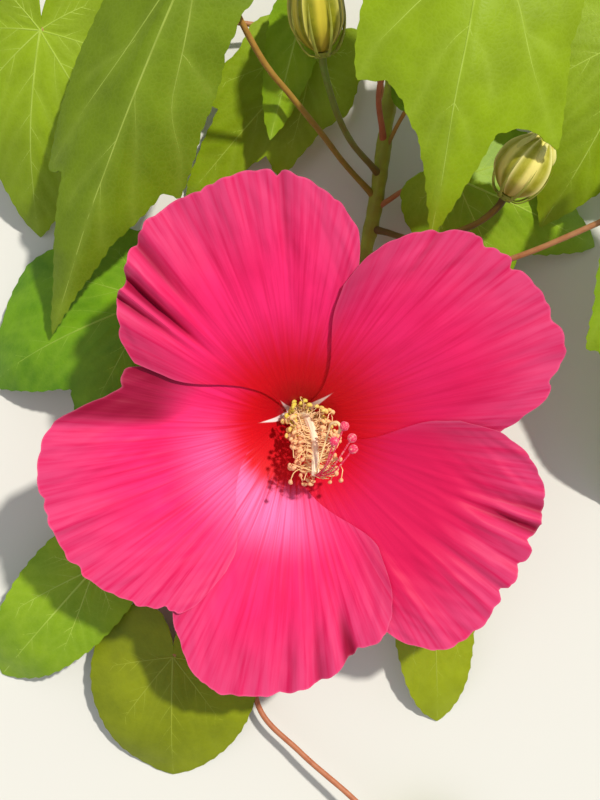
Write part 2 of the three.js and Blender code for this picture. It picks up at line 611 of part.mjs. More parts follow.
// The styles leave the tip of the column side by side and end in round stigmas
const styleFoot = columnCurve.getPointAt(1);
const styleWay = columnCurve.getTangentAt(1);
const stylePieces = [];
const styleHub = styleFoot.clone().addScaledVector(styleWay, GAP + STYLE_HUB_RADIUS);
const hub = new THREE.IcosahedronGeometry(STYLE_HUB_RADIUS, 0);
stylePieces.push(hub.translate(...styleHub.toArray()));
for (const [x, y, z] of STIGMAS) {
  const end = vector([x, y, z]);
  const bend = styleHub.clone().lerp(end, STYLE_BEND_AT).addScaledVector(styleWay, STYLE_BEND);
  const curve = new THREE.CatmullRomCurve3([styleHub.clone(), bend, end]);
  stylePieces.push(limb(curve, () => STYLE_RADIUS, STYLE_SIDES, STYLE_STEPS));
  stylePieces.push(new THREE.IcosahedronGeometry(STIGMA_RADIUS, 0).translate(x, y, z));
}
add("styles", joined(stylePieces), 0xe86a8a);

// Buds: a ridged calyx that closes to a point, on its own bracts and stalk
for (const [name, bud] of Object.entries(BUDS)) {
  const axis = vector(bud.tip).sub(vector(bud.base));
  const length = axis.length();
  axis.normalize();
  const side = new THREE.Vector3(0, 0, 1).cross(axis).normalize();
  const other = axis.clone().cross(side);
  const place = (distance, angle, height) => {
    return vector(bud.base)
      .addScaledVector(side, distance * Math.cos(degrees(angle)))
      .addScaledVector(other, distance * Math.sin(degrees(angle)))
      .addScaledVector(axis, height);
  };
  const sides = BUD_RIDGES * BUD_SIDES_PER_RIDGE;
  const points = [place(0, 0, 0)];
  const triangles = [];
  for (const [share, width] of BUD_PROFILE) {
    for (let k = 0; k < sides; k++) {
      const ridge = 1 + BUD_RIDGE_DEPTH * Math.cos((2 * Math.PI * k * BUD_RIDGES) / sides);
      points.push(place(bud.radius * width * ridge, (360 * k) / sides, length * share));
    }
  }
  points.push(place(0, 0, length + BUD_POINT));
  const last = points.length - 1;
  for (let k = 0; k < sides; k++) {
    const next = (k + 1) % sides;
    triangles.push(0, 1 + next, 1 + k);
    for (let i = 0; i < BUD_PROFILE.length - 1; i++) {
      const a = 1 + i * sides + k;
      const b = 1 + i * sides + next;
      triangles.push(a, b, b + sides, a, b + sides, a + sides);
    }
    triangles.push(last, last - sides + k, last - sides + next);
  }
  add(name, geometryOf(points, triangles), 0xb7bd5a);

  const bractsAt = -GAP - BRACT_THICK / 2 - BUD_BRACT_DROP;
  const bractPlace = (distance, angle) => {
    const beyond = Math.max(0, distance - BUD_BRACT_TURNS_AT);
    const out = distance - beyond * (1 - BUD_BRACT_OUT);
    return place(out, angle, bractsAt + beyond * BUD_BRACT_RISE);
  };
  add(name + "_bracts", bractRing(bractPlace, BUD_BRACT_TIP, BUD_BRACT_DISC), 0x86a548);
  const top = place(0, 0, bractsAt - BRACT_THICK / 2 - GAP);
  const neck = place(0, 0, bractsAt - BUD_NECK_DROP);
  const route = [...bud.via, neck.toArray(), top.toArray()];
  stalk(name + "_stalk", bud.from, route, bud.stalk, 0x7d5a35);
}

// The middle of the underside is the origin
const box = new THREE.Box3().setFromObject(spray);
const middle = box.getCenter(new THREE.Vector3());
spray.position.set(-middle.x, -middle.y, -box.min.z);
spray.updateMatrixWorld(true);

export default spray;
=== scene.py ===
# %% [markdown]
# A cut flowering branch of hibiscus, lying on the floor with its one open bloom facing up.
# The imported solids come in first. They hold every size and place, so each fine piece below is
# drawn in the same millimetres as those solids and then stands in for one or two of them.

import json
import math
import random

import bmesh
import bpy
import numpy as np
from mathutils import Matrix, Quaternion, Vector, noise
from mathutils.bvhtree import BVHTree


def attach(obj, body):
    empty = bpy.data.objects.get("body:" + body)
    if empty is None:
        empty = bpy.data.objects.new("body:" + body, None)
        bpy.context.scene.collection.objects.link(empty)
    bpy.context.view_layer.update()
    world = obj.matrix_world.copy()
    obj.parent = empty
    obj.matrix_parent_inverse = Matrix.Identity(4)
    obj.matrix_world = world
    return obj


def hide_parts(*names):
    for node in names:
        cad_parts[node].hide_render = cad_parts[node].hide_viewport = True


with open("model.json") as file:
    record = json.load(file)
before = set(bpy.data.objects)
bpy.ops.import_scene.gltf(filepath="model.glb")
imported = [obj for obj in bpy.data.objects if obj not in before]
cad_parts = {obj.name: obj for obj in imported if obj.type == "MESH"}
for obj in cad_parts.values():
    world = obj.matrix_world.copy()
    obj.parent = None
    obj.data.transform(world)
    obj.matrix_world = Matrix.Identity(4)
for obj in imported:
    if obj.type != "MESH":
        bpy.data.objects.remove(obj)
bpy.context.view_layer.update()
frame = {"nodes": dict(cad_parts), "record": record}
print("solids in the frame:", len(frame["nodes"]))

# %% [markdown]
# The drawing's zero lies near the middle of the picture, and the row's zero lies under the
# branch. The record says where the cut end of the stem is in the row's frame, and the stem's
# first point says where it is in the drawing, so the step between the two frames is worked
# out from them and not typed in.

# %% From the drawing in millimetres to the row's frame in metres
MM = 0.001
STEM_ROUTE = [
    (-25, -85, 2.2), (-13, -64, 2.1), (3.5, -23.5, 2.2), (15, 20, 3.2),
    (22.3, 51.5, 6.2), (25.2, 66, 8.4), (29.5, 101, 15.5), (31.6, 121.6, 25),
]
cut_end = next(m for m in frame["record"]["mounts"] if m["name"] == "cut_end")
TO_ROW = Matrix.Translation(Vector(cut_end["pos_m"]) - MM * Vector(STEM_ROUTE[0])) @ Matrix.Scale(MM, 4)
print("drawing zero in the row:", [round(c, 5) for c in TO_ROW.translation])

# %% [markdown]
# The camera looks straight down at the bloom, as the photograph does. A focal length of 1105
# pixels in a frame 800 pixels high fits the apparent sizes of the bloom, the leaves above it
# and the leaf tips near the floor.

# %% Camera
CAMERA_PLACE = Vector((0, 0, 375))
FOCAL_PIXELS = 1105
FRAME_HEIGHT = 800
SENSOR = 36

eye = bpy.data.cameras.new("camera")
eye.sensor_fit = "VERTICAL"
eye.sensor_height = SENSOR
eye.lens = SENSOR * FOCAL_PIXELS / FRAME_HEIGHT
eye.clip_start = 0.01
camera = bpy.data.objects.new("camera", eye)
bpy.context.scene.collection.objects.link(camera)
camera.location = TO_ROW @ CAMERA_PLACE
bpy.context.scene.camera = camera
print("lens in mm:", round(eye.lens, 2))

# %% [markdown]
# The light is a plain studio set: one key lamp to the upper right, a little soft, so that the
# stamens throw their shadow down and to the left, a broad weak lamp opposite, and an even,
# slightly blue sky. The standard view keeps a full pink as it is, where a film curve would
# wash it out.

# %% Light
KEY_FROM = Vector((0.5, 0.46, 1.0))
KEY_STRENGTH = 3.29
KEY_SOFTNESS = math.radians(3)
KEY_COLOUR = (1.0, 0.965, 0.9)
FILL_FROM = Vector((-0.8, -0.5, 1.2))
FILL_STRENGTH = 0.35
FILL_SOFTNESS = math.radians(60)
FILL_COLOUR = (0.9, 0.95, 1.0)
SKY_STRENGTH = 0.42
SKY_COLOUR = (0.93, 0.97, 1.0, 1.0)


def sun(name, way, strength, softness, colour):
    """A distant lamp that shines from the given side."""
    data = bpy.data.lights.new(name, "SUN")
    data.energy = strength
    data.angle = softness
    data.color = colour
    lamp = bpy.data.objects.new(name, data)
    lamp.rotation_euler = way.to_track_quat("Z", "Y").to_euler()
    bpy.context.scene.collection.objects.link(lamp)
    print(f"{name}: strength {strength}")


sun("key_lamp", KEY_FROM, KEY_STRENGTH, KEY_SOFTNESS, KEY_COLOUR)
sun("fill_lamp", FILL_FROM, FILL_STRENGTH, FILL_SOFTNESS, FILL_COLOUR)
sky = bpy.data.worlds.new("soft_sky")
sky.use_nodes = True
sky.node_tree.nodes["Background"].inputs["Color"].default_value = SKY_COLOUR
sky.node_tree.nodes["Background"].inputs["Strength"].default_value = SKY_STRENGTH
bpy.context.scene.world = sky
bpy.context.scene.view_settings.view_transform = "Standard"

# %% [markdown]
# Two helpers serve every material. Colours are written as the sRGB hex values that a colour
# picker shows, and the shader works in linear light, so one function turns one into the other.
# The other adds a node, sets it and links it, so that a material reads as a short list.


# %% Colour and node helpers
def linear(hex_colour):
    """An sRGB hex colour as the linear values that a shader takes."""
    shown = [int(hex_colour[i:i + 2], 16) / 255 for i in (1, 3, 5)]
    lit = [c / 12.92 if c <= 0.04045 else ((c + 0.055) / 1.055) ** 2.4 for c in shown]
    return lit + [1.0]


def node(tree, kind, inputs=None, stops=None, **settings):
    """Adds a node. An input is a plain value or another node's output."""
    made = tree.nodes.new(kind)
    for name, value in settings.items():
        setattr(made, name, value)
    for i, (place, colour) in enumerate(stops or []):
        ramp = made.color_ramp.elements
        stop = ramp[i] if i < len(ramp) else ramp.new(place)
        stop.position = place
        stop.color = colour
    for socket, value in (inputs or {}).items():
        if isinstance(value, bpy.types.NodeSocket):
            tree.links.new(value, made.inputs[socket])
        else:
            made.inputs[socket].default_value = value
    return made


def surface(name, roughness, ior=1.4, **constants):
    """A new material with a Principled shader. Constants are set on the shader's own sockets."""
    made = bpy.data.materials.new(name)
    made.use_nodes = True
    shader = made.node_tree.nodes["Principled BSDF"]
    shader.inputs["Roughness"].default_value = roughness
    shader.inputs["IOR"].default_value = ior
    for socket, value in constants.items():
        shader.inputs[socket.replace("_", " ")].default_value = value
    return made, made.node_tree, shader


# %% [markdown]
# The floor is a plain matt board. It isn't part of the branch.

# %% Floor
FLOOR_HALF = 1.6
BOARD_GREY = "#DAD8D0"

board, tree, shader = surface("matt_painted_board", 0.85)
shader.inputs["Base Color"].default_value = linear(BOARD_GREY)
bm = bmesh.new()
bmesh.ops.create_grid(bm, x_segments=1, y_segments=1, size=FLOOR_HALF)
board_mesh = bpy.data.meshes.new("floor")
bm.to_mesh(board_mesh)
bm.free()
board_mesh.materials.append(board)
floor = bpy.data.objects.new("floor", board_mesh)
bpy.context.scene.collection.objects.link(floor)
print("floor, metres from side to side:", 2 * FLOOR_HALF)

# %% [markdown]
# Everything on the branch is either a limb, which is a ring of edges extruded along a curve,
# or a thin sheet, which is a grid laid on a curved surface and then given its second face.
# The helpers for both come next, with the small curves and steps that they share.


# %% Numbers along a line
def along(pairs, x):
    """The value at x on straight lines through pairs of x and value."""
    if x <= pairs[0][0]:
        return pairs[0][1]
    for (x0, y0), (x1, y1) in zip(pairs, pairs[1:]):
        if x <= x1:
            return y0 + (y1 - y0) * (x - x0) / (x1 - x0)
    return pairs[-1][1]


def eased(pairs, x):
    """The value at x on a smooth curve through pairs of x and value."""
    if x <= pairs[0][0]:
        return pairs[0][1]
    if x >= pairs[-1][0]:
        return pairs[-1][1]
    i = next(k for k in range(1, len(pairs)) if x <= pairs[k][0])
    (x0, y0), (x1, y1) = pairs[i - 1], pairs[i]
    before = pairs[i - 2] if i > 1 else (2 * x0 - x1, 2 * y0 - y1)
    after = pairs[i + 1] if i + 1 < len(pairs) else (2 * x1 - x0, 2 * y1 - y0)
    step = x1 - x0
    slope0 = step * (y1 - before[1]) / (x1 - before[0])
    slope1 = step * (after[1] - y0) / (after[0] - x0)
    t = (x - x0) / step
    return (
        y0 + t * slope0
        + t * t * (3 * (y1 - y0) - 2 * slope0 - slope1)
        + t ** 3 * (2 * (y0 - y1) + slope0 + slope1)
    )


def smoothstep(x, low, high):
    """A smooth rise from 0 at low to 1 at high."""
    t = min(1.0, max(0.0, (x - low) / (high - low)))
    return t * t * (3 - 2 * t)


def fading(x, low, high):
    """A smooth fall from 1 at low to 0 at high."""
    return 1 - smoothstep(x, low, high)


def bump(x, middle, width):
    """1 at the middle, and next to nothing two widths away."""
    return math.exp(-((x - middle) / width) ** 2)


def swell(*place):
    """Smooth random swells between -1 and 1, about one to each unit of the place."""
    return noise.noise(Vector(place))


print("halfway up a smooth rise:", smoothstep(0.5, 0, 1))


# %% A smooth route through a few points
CURVE_STEPS = 60
ROUTE_SAMPLES = 400
HEADING_STEP = 0.004


def route(points):
    """A centripetal curve through the points, as places spaced evenly along it."""
    points = [Vector(p) for p in points]
    ends = [2 * points[0] - points[1]] + points + [2 * points[-1] - points[-2]]
    drawn = []
    for p0, p1, p2, p3 in zip(ends, ends[1:], ends[2:], ends[3:]):
        d0, d1, d2 = ((b - a).length ** 0.5 for a, b in ((p0, p1), (p1, p2), (p2, p3)))
        leave = d1 * ((p1 - p0) / d0 - (p2 - p0) / (d0 + d1) + (p2 - p1) / d1)
        meet = d1 * ((p2 - p1) / d1 - (p3 - p1) / (d1 + d2) + (p3 - p2) / d2)
        for t in (i / CURVE_STEPS for i in range(CURVE_STEPS)):
            curve = 3 * (p2 - p1) - 2 * leave - meet
            drawn.append(p1 + t * leave + t * t * curve + t ** 3 * (2 * (p1 - p2) + leave + meet))
    drawn.append(points[-1])
    drawn = np.array(drawn)
    run = np.concatenate([[0], np.cumsum(np.linalg.norm(np.diff(drawn, axis=0), axis=1))])
    even = np.linspace(0, run[-1], ROUTE_SAMPLES + 1)
    return np.stack([np.interp(even, run, drawn[:, axis]) for axis in range(3)], axis=1)


def at(way, share):
    """The place at a share of a route's length."""
    where = min(1.0, max(0.0, share)) * ROUTE_SAMPLES
    low = min(int(where), ROUTE_SAMPLES - 1)
    return Vector(way[low] + (way[low + 1] - way[low]) * (where - low))


def heading(way, share):
    """The direction at a share of a route's length."""
    return (at(way, share + HEADING_STEP) - at(way, share - HEADING_STEP)).normalized()


stem_way = route(STEM_ROUTE)
print("stem, mm from end to end:", round((at(stem_way, 1) - at(stem_way, 0)).length, 1))


# %% [markdown]
# A limb could be a curve object with a round bevel. Extruding a ring instead keeps every limb
# a closed mesh, lets its radius follow any formula, and leaves on each vertex how far along
# and how far round the limb it lies, which the bark patterns read later.


# %% Limbs
def rings(way, steps, side=None):
    """A frame at each step of a route that turns no more than the route does."""
    side = side or heading(way, 0).orthogonal()
    frames = []
    for i in range(steps + 1):
        ahead = heading(way, i / steps)
        side = (side - ahead * side.dot(ahead)).normalized()
        turned = Matrix((side, ahead.cross(side), ahead)).transposed().to_4x4()
        frames.append(Matrix.Translation(at(way, i / steps)) @ turned)
    return frames


def add(bm, one):
    """Appends one drawing to another. An operator slows down as the drawing that it works in grows."""
    scratch = bpy.data.meshes.new("scratch")
    one.to_mesh(scratch)
    one.free()
    bm.from_mesh(scratch)
    bpy.data.meshes.remove(scratch)


def limb(bm, way, radius_at, sides, steps, relief=None, side=None, flat=1.0, **tags):
    """Adds a closed limb along a route.

    relief(run, turn) moves its skin out by so many mm, and flat squeezes it across side. Each
    of tags gives a value that a vertex keeps, worked out from its share of the route.
    """
    one = bmesh.new()
    layer = {name: one.verts.layers.float.new(name) for name in ("run", "turn", *tags)}
    frames = rings(way, steps, side)
    radii = [radius_at(i / steps) for i in range(steps + 1)]
    sized = [f @ Matrix.Diagonal((r, r * flat, 1, 1)) for f, r in zip(frames, radii)]
    made = bmesh.ops.create_circle(one, segments=sides, radius=1)["verts"]
    for vert in made:
        vert[layer["turn"]] = math.atan2(vert.co.y, vert.co.x) / (2 * math.pi)
    bmesh.ops.transform(one, matrix=sized[0], verts=made)
    edges = one.edges[:]
    ends = list(edges)
    skin = [(vert, 0) for vert in made]
    for i in range(1, steps + 1):
        out = bmesh.ops.extrude_edge_only(one, edges=edges)["geom"]
        made = [g for g in out if isinstance(g, bmesh.types.BMVert)]
        edges = [g for g in out if isinstance(g, bmesh.types.BMEdge)]
        bmesh.ops.transform(one, matrix=sized[i] @ sized[i - 1].inverted(), verts=made)
        skin += [(vert, i) for vert in made]
    for ring in (ends, edges):
        bmesh.ops.edgeloop_fill(one, edges=ring)
    for vert, i in skin:
        vert[layer["run"]] = i / steps
        for name, value_at in tags.items():
            vert[layer[name]] = value_at(i / steps)
        if relief:
            out = (vert.co - frames[i].translation).normalized()
            vert.co += out * relief(i / steps, vert[layer["turn"]])
    add(bm, one)


# %% [markdown]
# A petal or a leaf blade is half a millimetre thick at most. A Solidify modifier would give it
# an even wall, but a real blade thins out to its rim, so the sheet is duplicated, the copy is
# sunk by a depth worked out at each vertex, and the two rims are bridged.


# %% Thin sheets
WELD = 0.001


def face_up(bm, up):
    """Turns a sheet over if its faces look away from the side that should be up."""
    bm.normal_update()
    if sum((f.normal.dot(up) * f.calc_area() for f in bm.faces), 0.0) < 0:
        bmesh.ops.reverse_faces(bm, faces=bm.faces)
        bm.normal_update()


def thicken(bm, depth_of):
    """Gives a sheet its underside, sunk by depth_of(vertex), and closes its rim."""
    rim = [e for e in bm.edges if e.is_boundary]
    copy = bmesh.ops.duplicate(bm, geom=bm.verts[:] + bm.edges[:] + bm.faces[:])["geom"]
    bm.normal_update()
    under = [g for g in copy if isinstance(g, bmesh.types.BMVert)]
    rim += [g for g in copy if isinstance(g, bmesh.types.BMEdge) and g.is_boundary]
    for vert in under:
        vert.co -= vert.normal * depth_of(vert)
    bmesh.ops.reverse_faces(bm, faces=[g for g in copy if isinstance(g, bmesh.types.BMFace)])
    bmesh.ops.bridge_loops(bm, edges=rim)
    return under


# %% [markdown]
# A drawing becomes a finished object in one step: it is moved to the row's frame, so that the
# object itself stays at the origin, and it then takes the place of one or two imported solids.

# %% Finished pieces
SHARP_EDGE = math.radians(55)
totals = []


def finished(name, bm, material, slot, *nodes):
    """Makes a drawing in millimetres a finished object in the row's frame, in place of nodes."""
    bmesh.ops.transform(bm, matrix=TO_ROW, verts=bm.verts)
    mesh = bpy.data.meshes.new(name)
    bm.to_mesh(mesh)
    bm.free()
    mesh.shade_smooth()
    mesh.set_sharp_from_angle(angle=SHARP_EDGE)
    mesh.materials.append(material)
    made = bpy.data.objects.new(name, mesh)
    bpy.context.scene.collection.objects.link(made)
    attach(made, "root")
    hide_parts(*nodes)
    mesh.calc_loop_triangles()
    totals.append(len(mesh.loop_triangles))
    print(f"{name}: {totals[-1]} triangles")
    return made


# %% [markdown]
# The bloom's skeleton is a funnel: how high a petal stands at each distance from the axis, and
# how far it spreads to each side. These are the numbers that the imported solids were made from.

# %% The shape of the bloom
BLOOM_SEAT = Vector((-2, -5, 22))
BLOOM_AXIS = Vector((0.05, -0.2, 0.98)).normalized()
BLOOM_X = (Vector((1, 0, 0)) - BLOOM_AXIS * BLOOM_AXIS.x).normalized()
BLOOM_Y = BLOOM_AXIS.cross(BLOOM_X)
CLAW_START = 2.1
CLAW_ENDS = 8
BLADE_STARTS = 42
OVERLAP_LIFT = 0.22
OVERLAP_LIFT_PER_MM = 0.013
PETAL_CUP = 1.4
BLOOM_PROFILE = [
    (0, 0), (3, 1), (6, 6.5), (10, 11), (15, 15.5), (25, 22), (40, 28.5), (60, 34), (82, 37),
]
PETAL_SPREAD = [(2.1, 37), (8, 39.5), (14, 41), (20, 43), (30, 44), (44, 42), (90, 42)]
RIM_AT = [-1, -0.9, -0.75, -0.5, -0.25, 0, 0.25, 0.5, 0.75, 0.9, 1]

# %% [markdown]
# Each petal then has its own outline, folds and notches, read off the photograph. claw and
# blade are the angles at which it leaves the column and at which it spreads, and under is how
# much wider its lower side is, the one that its neighbour covers. rim is its reach in mm at
# each place of RIM_AT. A fold is the angle that it runs along, its half width in degrees, its
# height in mm, and how far from the axis it begins. A notch is its angle, its half width in
# degrees and its depth in mm.
#
# The rest is colour. eye says between which distances the red of the throat fades, and pale
# how strong the pale zone is, which is partly the petal's own lighter pink and partly a painted
# highlight. deep is how deep the pink is at one side and at the other, partly the petal's own
# colour and partly painted shade on the petals that face away from the key lamp. seam gives for
# each side how strong the painted shade along its seam with the neighbour is, and where across
# the petal that shade starts and is full. seed gives each petal crinkles of its own.

# %% The five petals
PETALS = {
    "petal_top": {
        "claw": 90, "blade": 112, "under": 1.0, "eye": (17, 40), "pale": 0.0, "seed": 1,
        "deep": (0.0, 0.45), "seam": [(0.0, 0.66, 0.96), (0.45, 0.66, 0.96)],
        "rim": [50, 63, 69, 76, 78, 76.5, 76, 71, 63.5, 58, 52],
        "folds": [
            (145.0, 2.2, 1.3, 40), (140.4, 1.3, -2.2, 32), (138.3, 1.0, 1.2, 36), (136.0, 1.5, -3.4, 28),
            (132.2, 1.9, 2.0, 32), (128.4, 1.7, -2.2, 34),
            (124.5, 3.0, 1.2, 38), (116.0, 2.6, -0.9, 42), (106.5, 2.2, 0.7, 40), (101.0, 2.0, -0.6, 40),
            (93.6, 1.5, -1.2, 30), (89.0, 2.6, 0.9, 34), (80.0, 2.4, -0.5, 40),
        ],
        "notches": [(94.6, 0.7, 1.6), (76.5, 1.6, 0.9), (128.6, 1.2, 1.0), (136.4, 1.5, 1.6)],
    },
    "petal_right_upper": {
        "claw": 13, "blade": 32, "under": 1.06, "eye": (15, 44), "pale": 0.0, "seed": 2,
        "deep": (1.0, 0.15), "seam": [(0.0, 0.66, 0.96), (0.4, 0.66, 0.96)],
        "rim": [40, 46, 55, 72, 81, 81, 79, 75.5, 66, 57, 47],
        "folds": [
            (62.0, 2.2, 1.2, 38), (56.5, 1.8, -1.3, 36), (51.5, 2.0, 1.3, 40), (47.0, 1.5, -1.1, 50),
            (43.0, 1.6, 0.9, 50), (39.5, 1.3, -0.9, 54), (33.0, 2.4, 0.6, 50), (27.5, 1.6, -0.7, 50),
            (22.5, 1.8, 0.7, 50), (17.5, 1.5, -0.7, 50), (6.0, 1.8, 0.7, 42), (2.0, 1.4, -0.8, 40),
        ],
        "notches": [
            (39.5, 1.0, 1.8), (47.0, 1.2, 1.1), (26.5, 1.4, 1.5), (15.0, 1.3, 1.6), (7.5, 1.2, 0.8),
            (56.5, 1.3, 1.0),
        ],
    },
    "petal_right_lower": {
        "claw": -59, "blade": -36, "under": 1.06, "eye": (13, 32), "pale": 0.1, "seed": 3,
        "deep": (1.0, 1.0), "seam": [(0.0, 0.66, 0.96), (0.35, 0.66, 0.96)],
        "rim": [42, 46, 60, 77, 79.5, 77.5, 77, 75.5, 68, 59, 48],
        "folds": [
            (-8.0, 2.6, 0.6, 40), (-13.2, 1.8, 0.8, 44), (-17.2, 1.5, -2.1, 44), (-19.6, 1.2, 0.8, 46),
            (-22.0, 1.6, -2.6, 42), (-25.5, 1.8, 1.5, 40), (-30.0, 1.4, -1.0, 44), (-34.0, 1.8, 0.8, 44),
            (-37.3, 1.2, -1.0, 40), (-42.0, 2.2, 0.7, 36), (-49.0, 1.8, -0.5, 32), (-56.0, 2.2, 0.6, 32),
            (-63.0, 1.8, -0.6, 34),
        ],
        "notches": [
            (-19.0, 0.8, 0.9), (-24.2, 1.0, 2.2), (-30.3, 1.0, 1.6), (-37.3, 1.1, 2.0), (-58.5, 1.2, 0.8),
        ],
    },
    "petal_bottom": {
        "claw": -132, "blade": -97, "under": 1.08, "eye": (16, 23), "pale": 0.85, "seed": 4,
        "deep": (0.1, 0.45), "seam": [(0.5, 0.5, 0.74), (0.3, 0.66, 0.96)],
        "rim": [44, 50, 58, 72, 81.5, 79.5, 76, 68.5, 64, 55, 42],
        "folds": [
            (-68.5, 2.6, 1.1, 40), (-76.9, 2.0, -3.4, 42), (-81.6, 1.7, 1.6, 38), (-85.5, 1.5, -1.5, 40),
            (-89.5, 2.0, 1.1, 36), (-94.0, 1.6, -0.8, 40), (-99.0, 2.0, 0.7, 40), (-105.0, 2.0, -0.5, 40),
            (-112.0, 2.4, 0.6, 40), (-119.0, 1.8, -0.6, 44),
        ],
        "notches": [(-118.8, 1.2, 0.9), (-109.6, 1.0, 0.8), (-74.6, 1.0, 1.8), (-84.5, 1.2, 1.0)],
    },
    "petal_left": {
        "claw": -202, "blade": -160, "under": 1.14, "eye": (14, 27), "pale": 0.5, "seed": 5,
        "deep": (0.15, 0.05), "seam": [(1.0, 0.48, 0.6), (0.0, 0.66, 0.96)],
        "rim": [46, 54, 54.5, 71.5, 76, 76, 75, 70.5, 64.5, 60, 46],
        "folds": [
            (-190.0, 2.6, 0.6, 38), (-184.0, 2.0, -0.6, 40), (-173.0, 2.4, 0.6, 40), (-166.0, 1.7, -0.8, 44),
            (-161.0, 2.0, 0.7, 44), (-154.5, 1.6, -0.6, 44), (-147.0, 2.0, 0.5, 44), (-139.0, 1.5, -0.8, 40),
            (-134.0, 1.8, 0.8, 40), (-128.5, 1.5, -0.7, 40), (-122.0, 2.0, 0.5, 44),
        ],
        "notches": [(-166.5, 1.1, 0.8), (-150.0, 1.1, 0.9), (-136.0, 1.0, 0.9), (-128.5, 1.0, 0.8)],
    },
}


def bloom_place(distance, angle, height):
    """A place in the bloom's own frame: angles are counted from the picture's right."""
    turn = math.radians(angle)
    out = BLOOM_X * math.cos(turn) + BLOOM_Y * math.sin(turn)
    return BLOOM_SEAT + out * distance + BLOOM_AXIS * height


print("folds in all petals:", sum(len(petal["folds"]) for petal in PETALS.values()))


# %% [markdown]
# Fine relief is what makes a petal look like one. Its veins fan out from the claw and fork as
# it widens, so each order of veins sets in further out at half the spacing of the last, and
# its height is a fixed share of that spacing. Towards the rim the blade crinkles, and the rim
# itself is cut into small scallops. Spacings and strays are in degrees, and a crinkle's size
# is its mm across the veins and along them.

# %% Petal relief
VEIN_SPACING = 6.4
VEIN_ORDERS = [(1, 6, 16), (2, 26, 40), (4, 48, 60)]
VEIN_HEIGHT_SHARE = 0.017
VEIN_STRAY = 0.7
VEIN_LEAST = 0.4
VEIN_UNEVEN = 1.5
CRINKLE = 0.85
CRINKLE_COARSE = (5.5, 17)
CRINKLE_FINE = (2.2, 7)
CRINKLE_FINE_SHARE = 0.42
CRINKLE_GROWS = (30, 74)
SCALLOP = 0.55
SCALLOP_WIDTH = 4.3
SCALLOP_STRAY = 3.0
RIM_UNEVEN = 0.7


def vein_wave(angle, distance, seed):
    """Height of the veins in mm, with ridges at each vein and valleys between."""
    strayed = angle + VEIN_STRAY * swell(angle * 0.2, distance * 0.03, seed * 7.0)
    uneven = VEIN_LEAST + VEIN_UNEVEN * abs(swell(angle * 0.17, distance * 0.02, seed * 9.0))
    total = 0.0
    for split, starts, full in VEIN_ORDERS:
        spacing = VEIN_SPACING / split
        width = math.radians(spacing) * distance
        ridge = math.cos(2 * math.pi * strayed / spacing)
        total += VEIN_HEIGHT_SHARE * width * ridge * smoothstep(distance, starts, full)
    return total * uneven


def crinkle(angle, distance, seed):
    """Height of the crinkles of a petal's outer part, drawn out along its veins."""
    across = math.radians(angle) * distance
    coarse, fine = (
        swell(across / wide, distance / long, seed * step)
        for (wide, long), step in ((CRINKLE_COARSE, 3.1), (CRINKLE_FINE, 5.3))
    )
    return CRINKLE * (coarse + CRINKLE_FINE_SHARE * fine) * smoothstep(distance, *CRINKLE_GROWS)


def rim_reach(petal, across, angle):
    """How far a petal reaches, with its notches and scallops."""
    reach = eased(list(zip(RIM_AT, petal["rim"])), across)
    for middle, width, depth in petal["notches"]:
        reach -= depth * bump(angle, middle, width)
    stray = SCALLOP_STRAY * swell(angle * 0.11, petal["seed"] * 2.0, 0.0)
    scallop = abs(math.sin(math.pi * (angle + stray) / SCALLOP_WIDTH))
    return reach - SCALLOP * (1 - scallop) + RIM_UNEVEN * swell(angle * 0.23, petal["seed"], 5.0)


# %% [markdown]
# A place on a petal comes from two shares: how far it lies from claw to rim, and how far across
# from the one side to the other. The side that lies over its neighbour is lifted, the outer
# part is cupped and swings in slow waves, and the folds and the fine relief come on top.

# %% Where a petal's face is
RIM_SPREAD = 42
LIFTED_AT = 36
OUTER_PART = (40, 80)
SLOW_WAVES = [(1.3, 5, 40), (0.8, 8, 0)]
FOLD_GROWS = 34


def petal_place(petal, share, across):
    """Where a petal's upper face is, with its distance, angle, reach and fold for the colours."""
    reach = rim_reach(petal, across, petal["blade"] + across * RIM_SPREAD)
    distance = CLAW_START + (reach - CLAW_START) * share
    blend = smoothstep(distance, CLAW_ENDS, BLADE_STARTS)
    middle = petal["claw"] + (petal["blade"] - petal["claw"]) * blend
    wider = 1 + (petal["under"] - 1) * blend if across < 0 else 1
    offset = across * eased(PETAL_SPREAD, distance) * wider
    angle = middle + offset
    lift = (OVERLAP_LIFT + OVERLAP_LIFT_PER_MM * distance) * offset / LIFTED_AT
    outer = smoothstep(distance, *OUTER_PART)
    cup = PETAL_CUP * outer * (offset / LIFTED_AT) ** 2
    wave = outer * sum(
        height * math.sin(math.radians(count * angle + start)) for height, count, start in SLOW_WAVES
    )
    fold = sum(
        height * bump(angle, turn, width) * smoothstep(distance, starts, starts + FOLD_GROWS)
        for turn, width, height, starts in petal["folds"]
    )
    turned = angle - petal["blade"]
    fine = vein_wave(turned, distance, petal["seed"]) + crinkle(turned, distance, petal["seed"])
    height = eased(BLOOM_PROFILE, distance) + lift - cup + wave + fold + fine
    return bloom_place(distance, angle, height), distance, angle, reach, fold


tip_of_top = petal_place(PETALS["petal_top"], 1, 0)[0]
print("height of petal_top's rim in mm:", round(tip_of_top.z, 1))


# %% [markdown]
# Most finishes here are one colour with others laid over it, each by an amount that the surface
# carries or a pattern gives. One helper lays them on, and one gives the shader the colour with
# a fine relief. A Mix node keeps its two colours at sockets 6 and 7 and gives them at output 2.

# %% Colours laid over each other
MIX_FROM = 6
MIX_TO = 7
MIXED = 2


def glazed(tree, colour, *glazes):
    """Lays tints over a colour, each as a hex value, an amount and a strength."""
    for tint, amount, strength in glazes:
        share = node(tree, "ShaderNodeMath", {0: amount, 1: strength}, operation="MULTIPLY")
        mixed = node(tree, "ShaderNodeMix", {
            0: share.outputs[0], MIX_FROM: colour, MIX_TO: linear(tint),
        }, data_type="RGBA")
        colour = mixed.outputs[MIXED]
    return colour


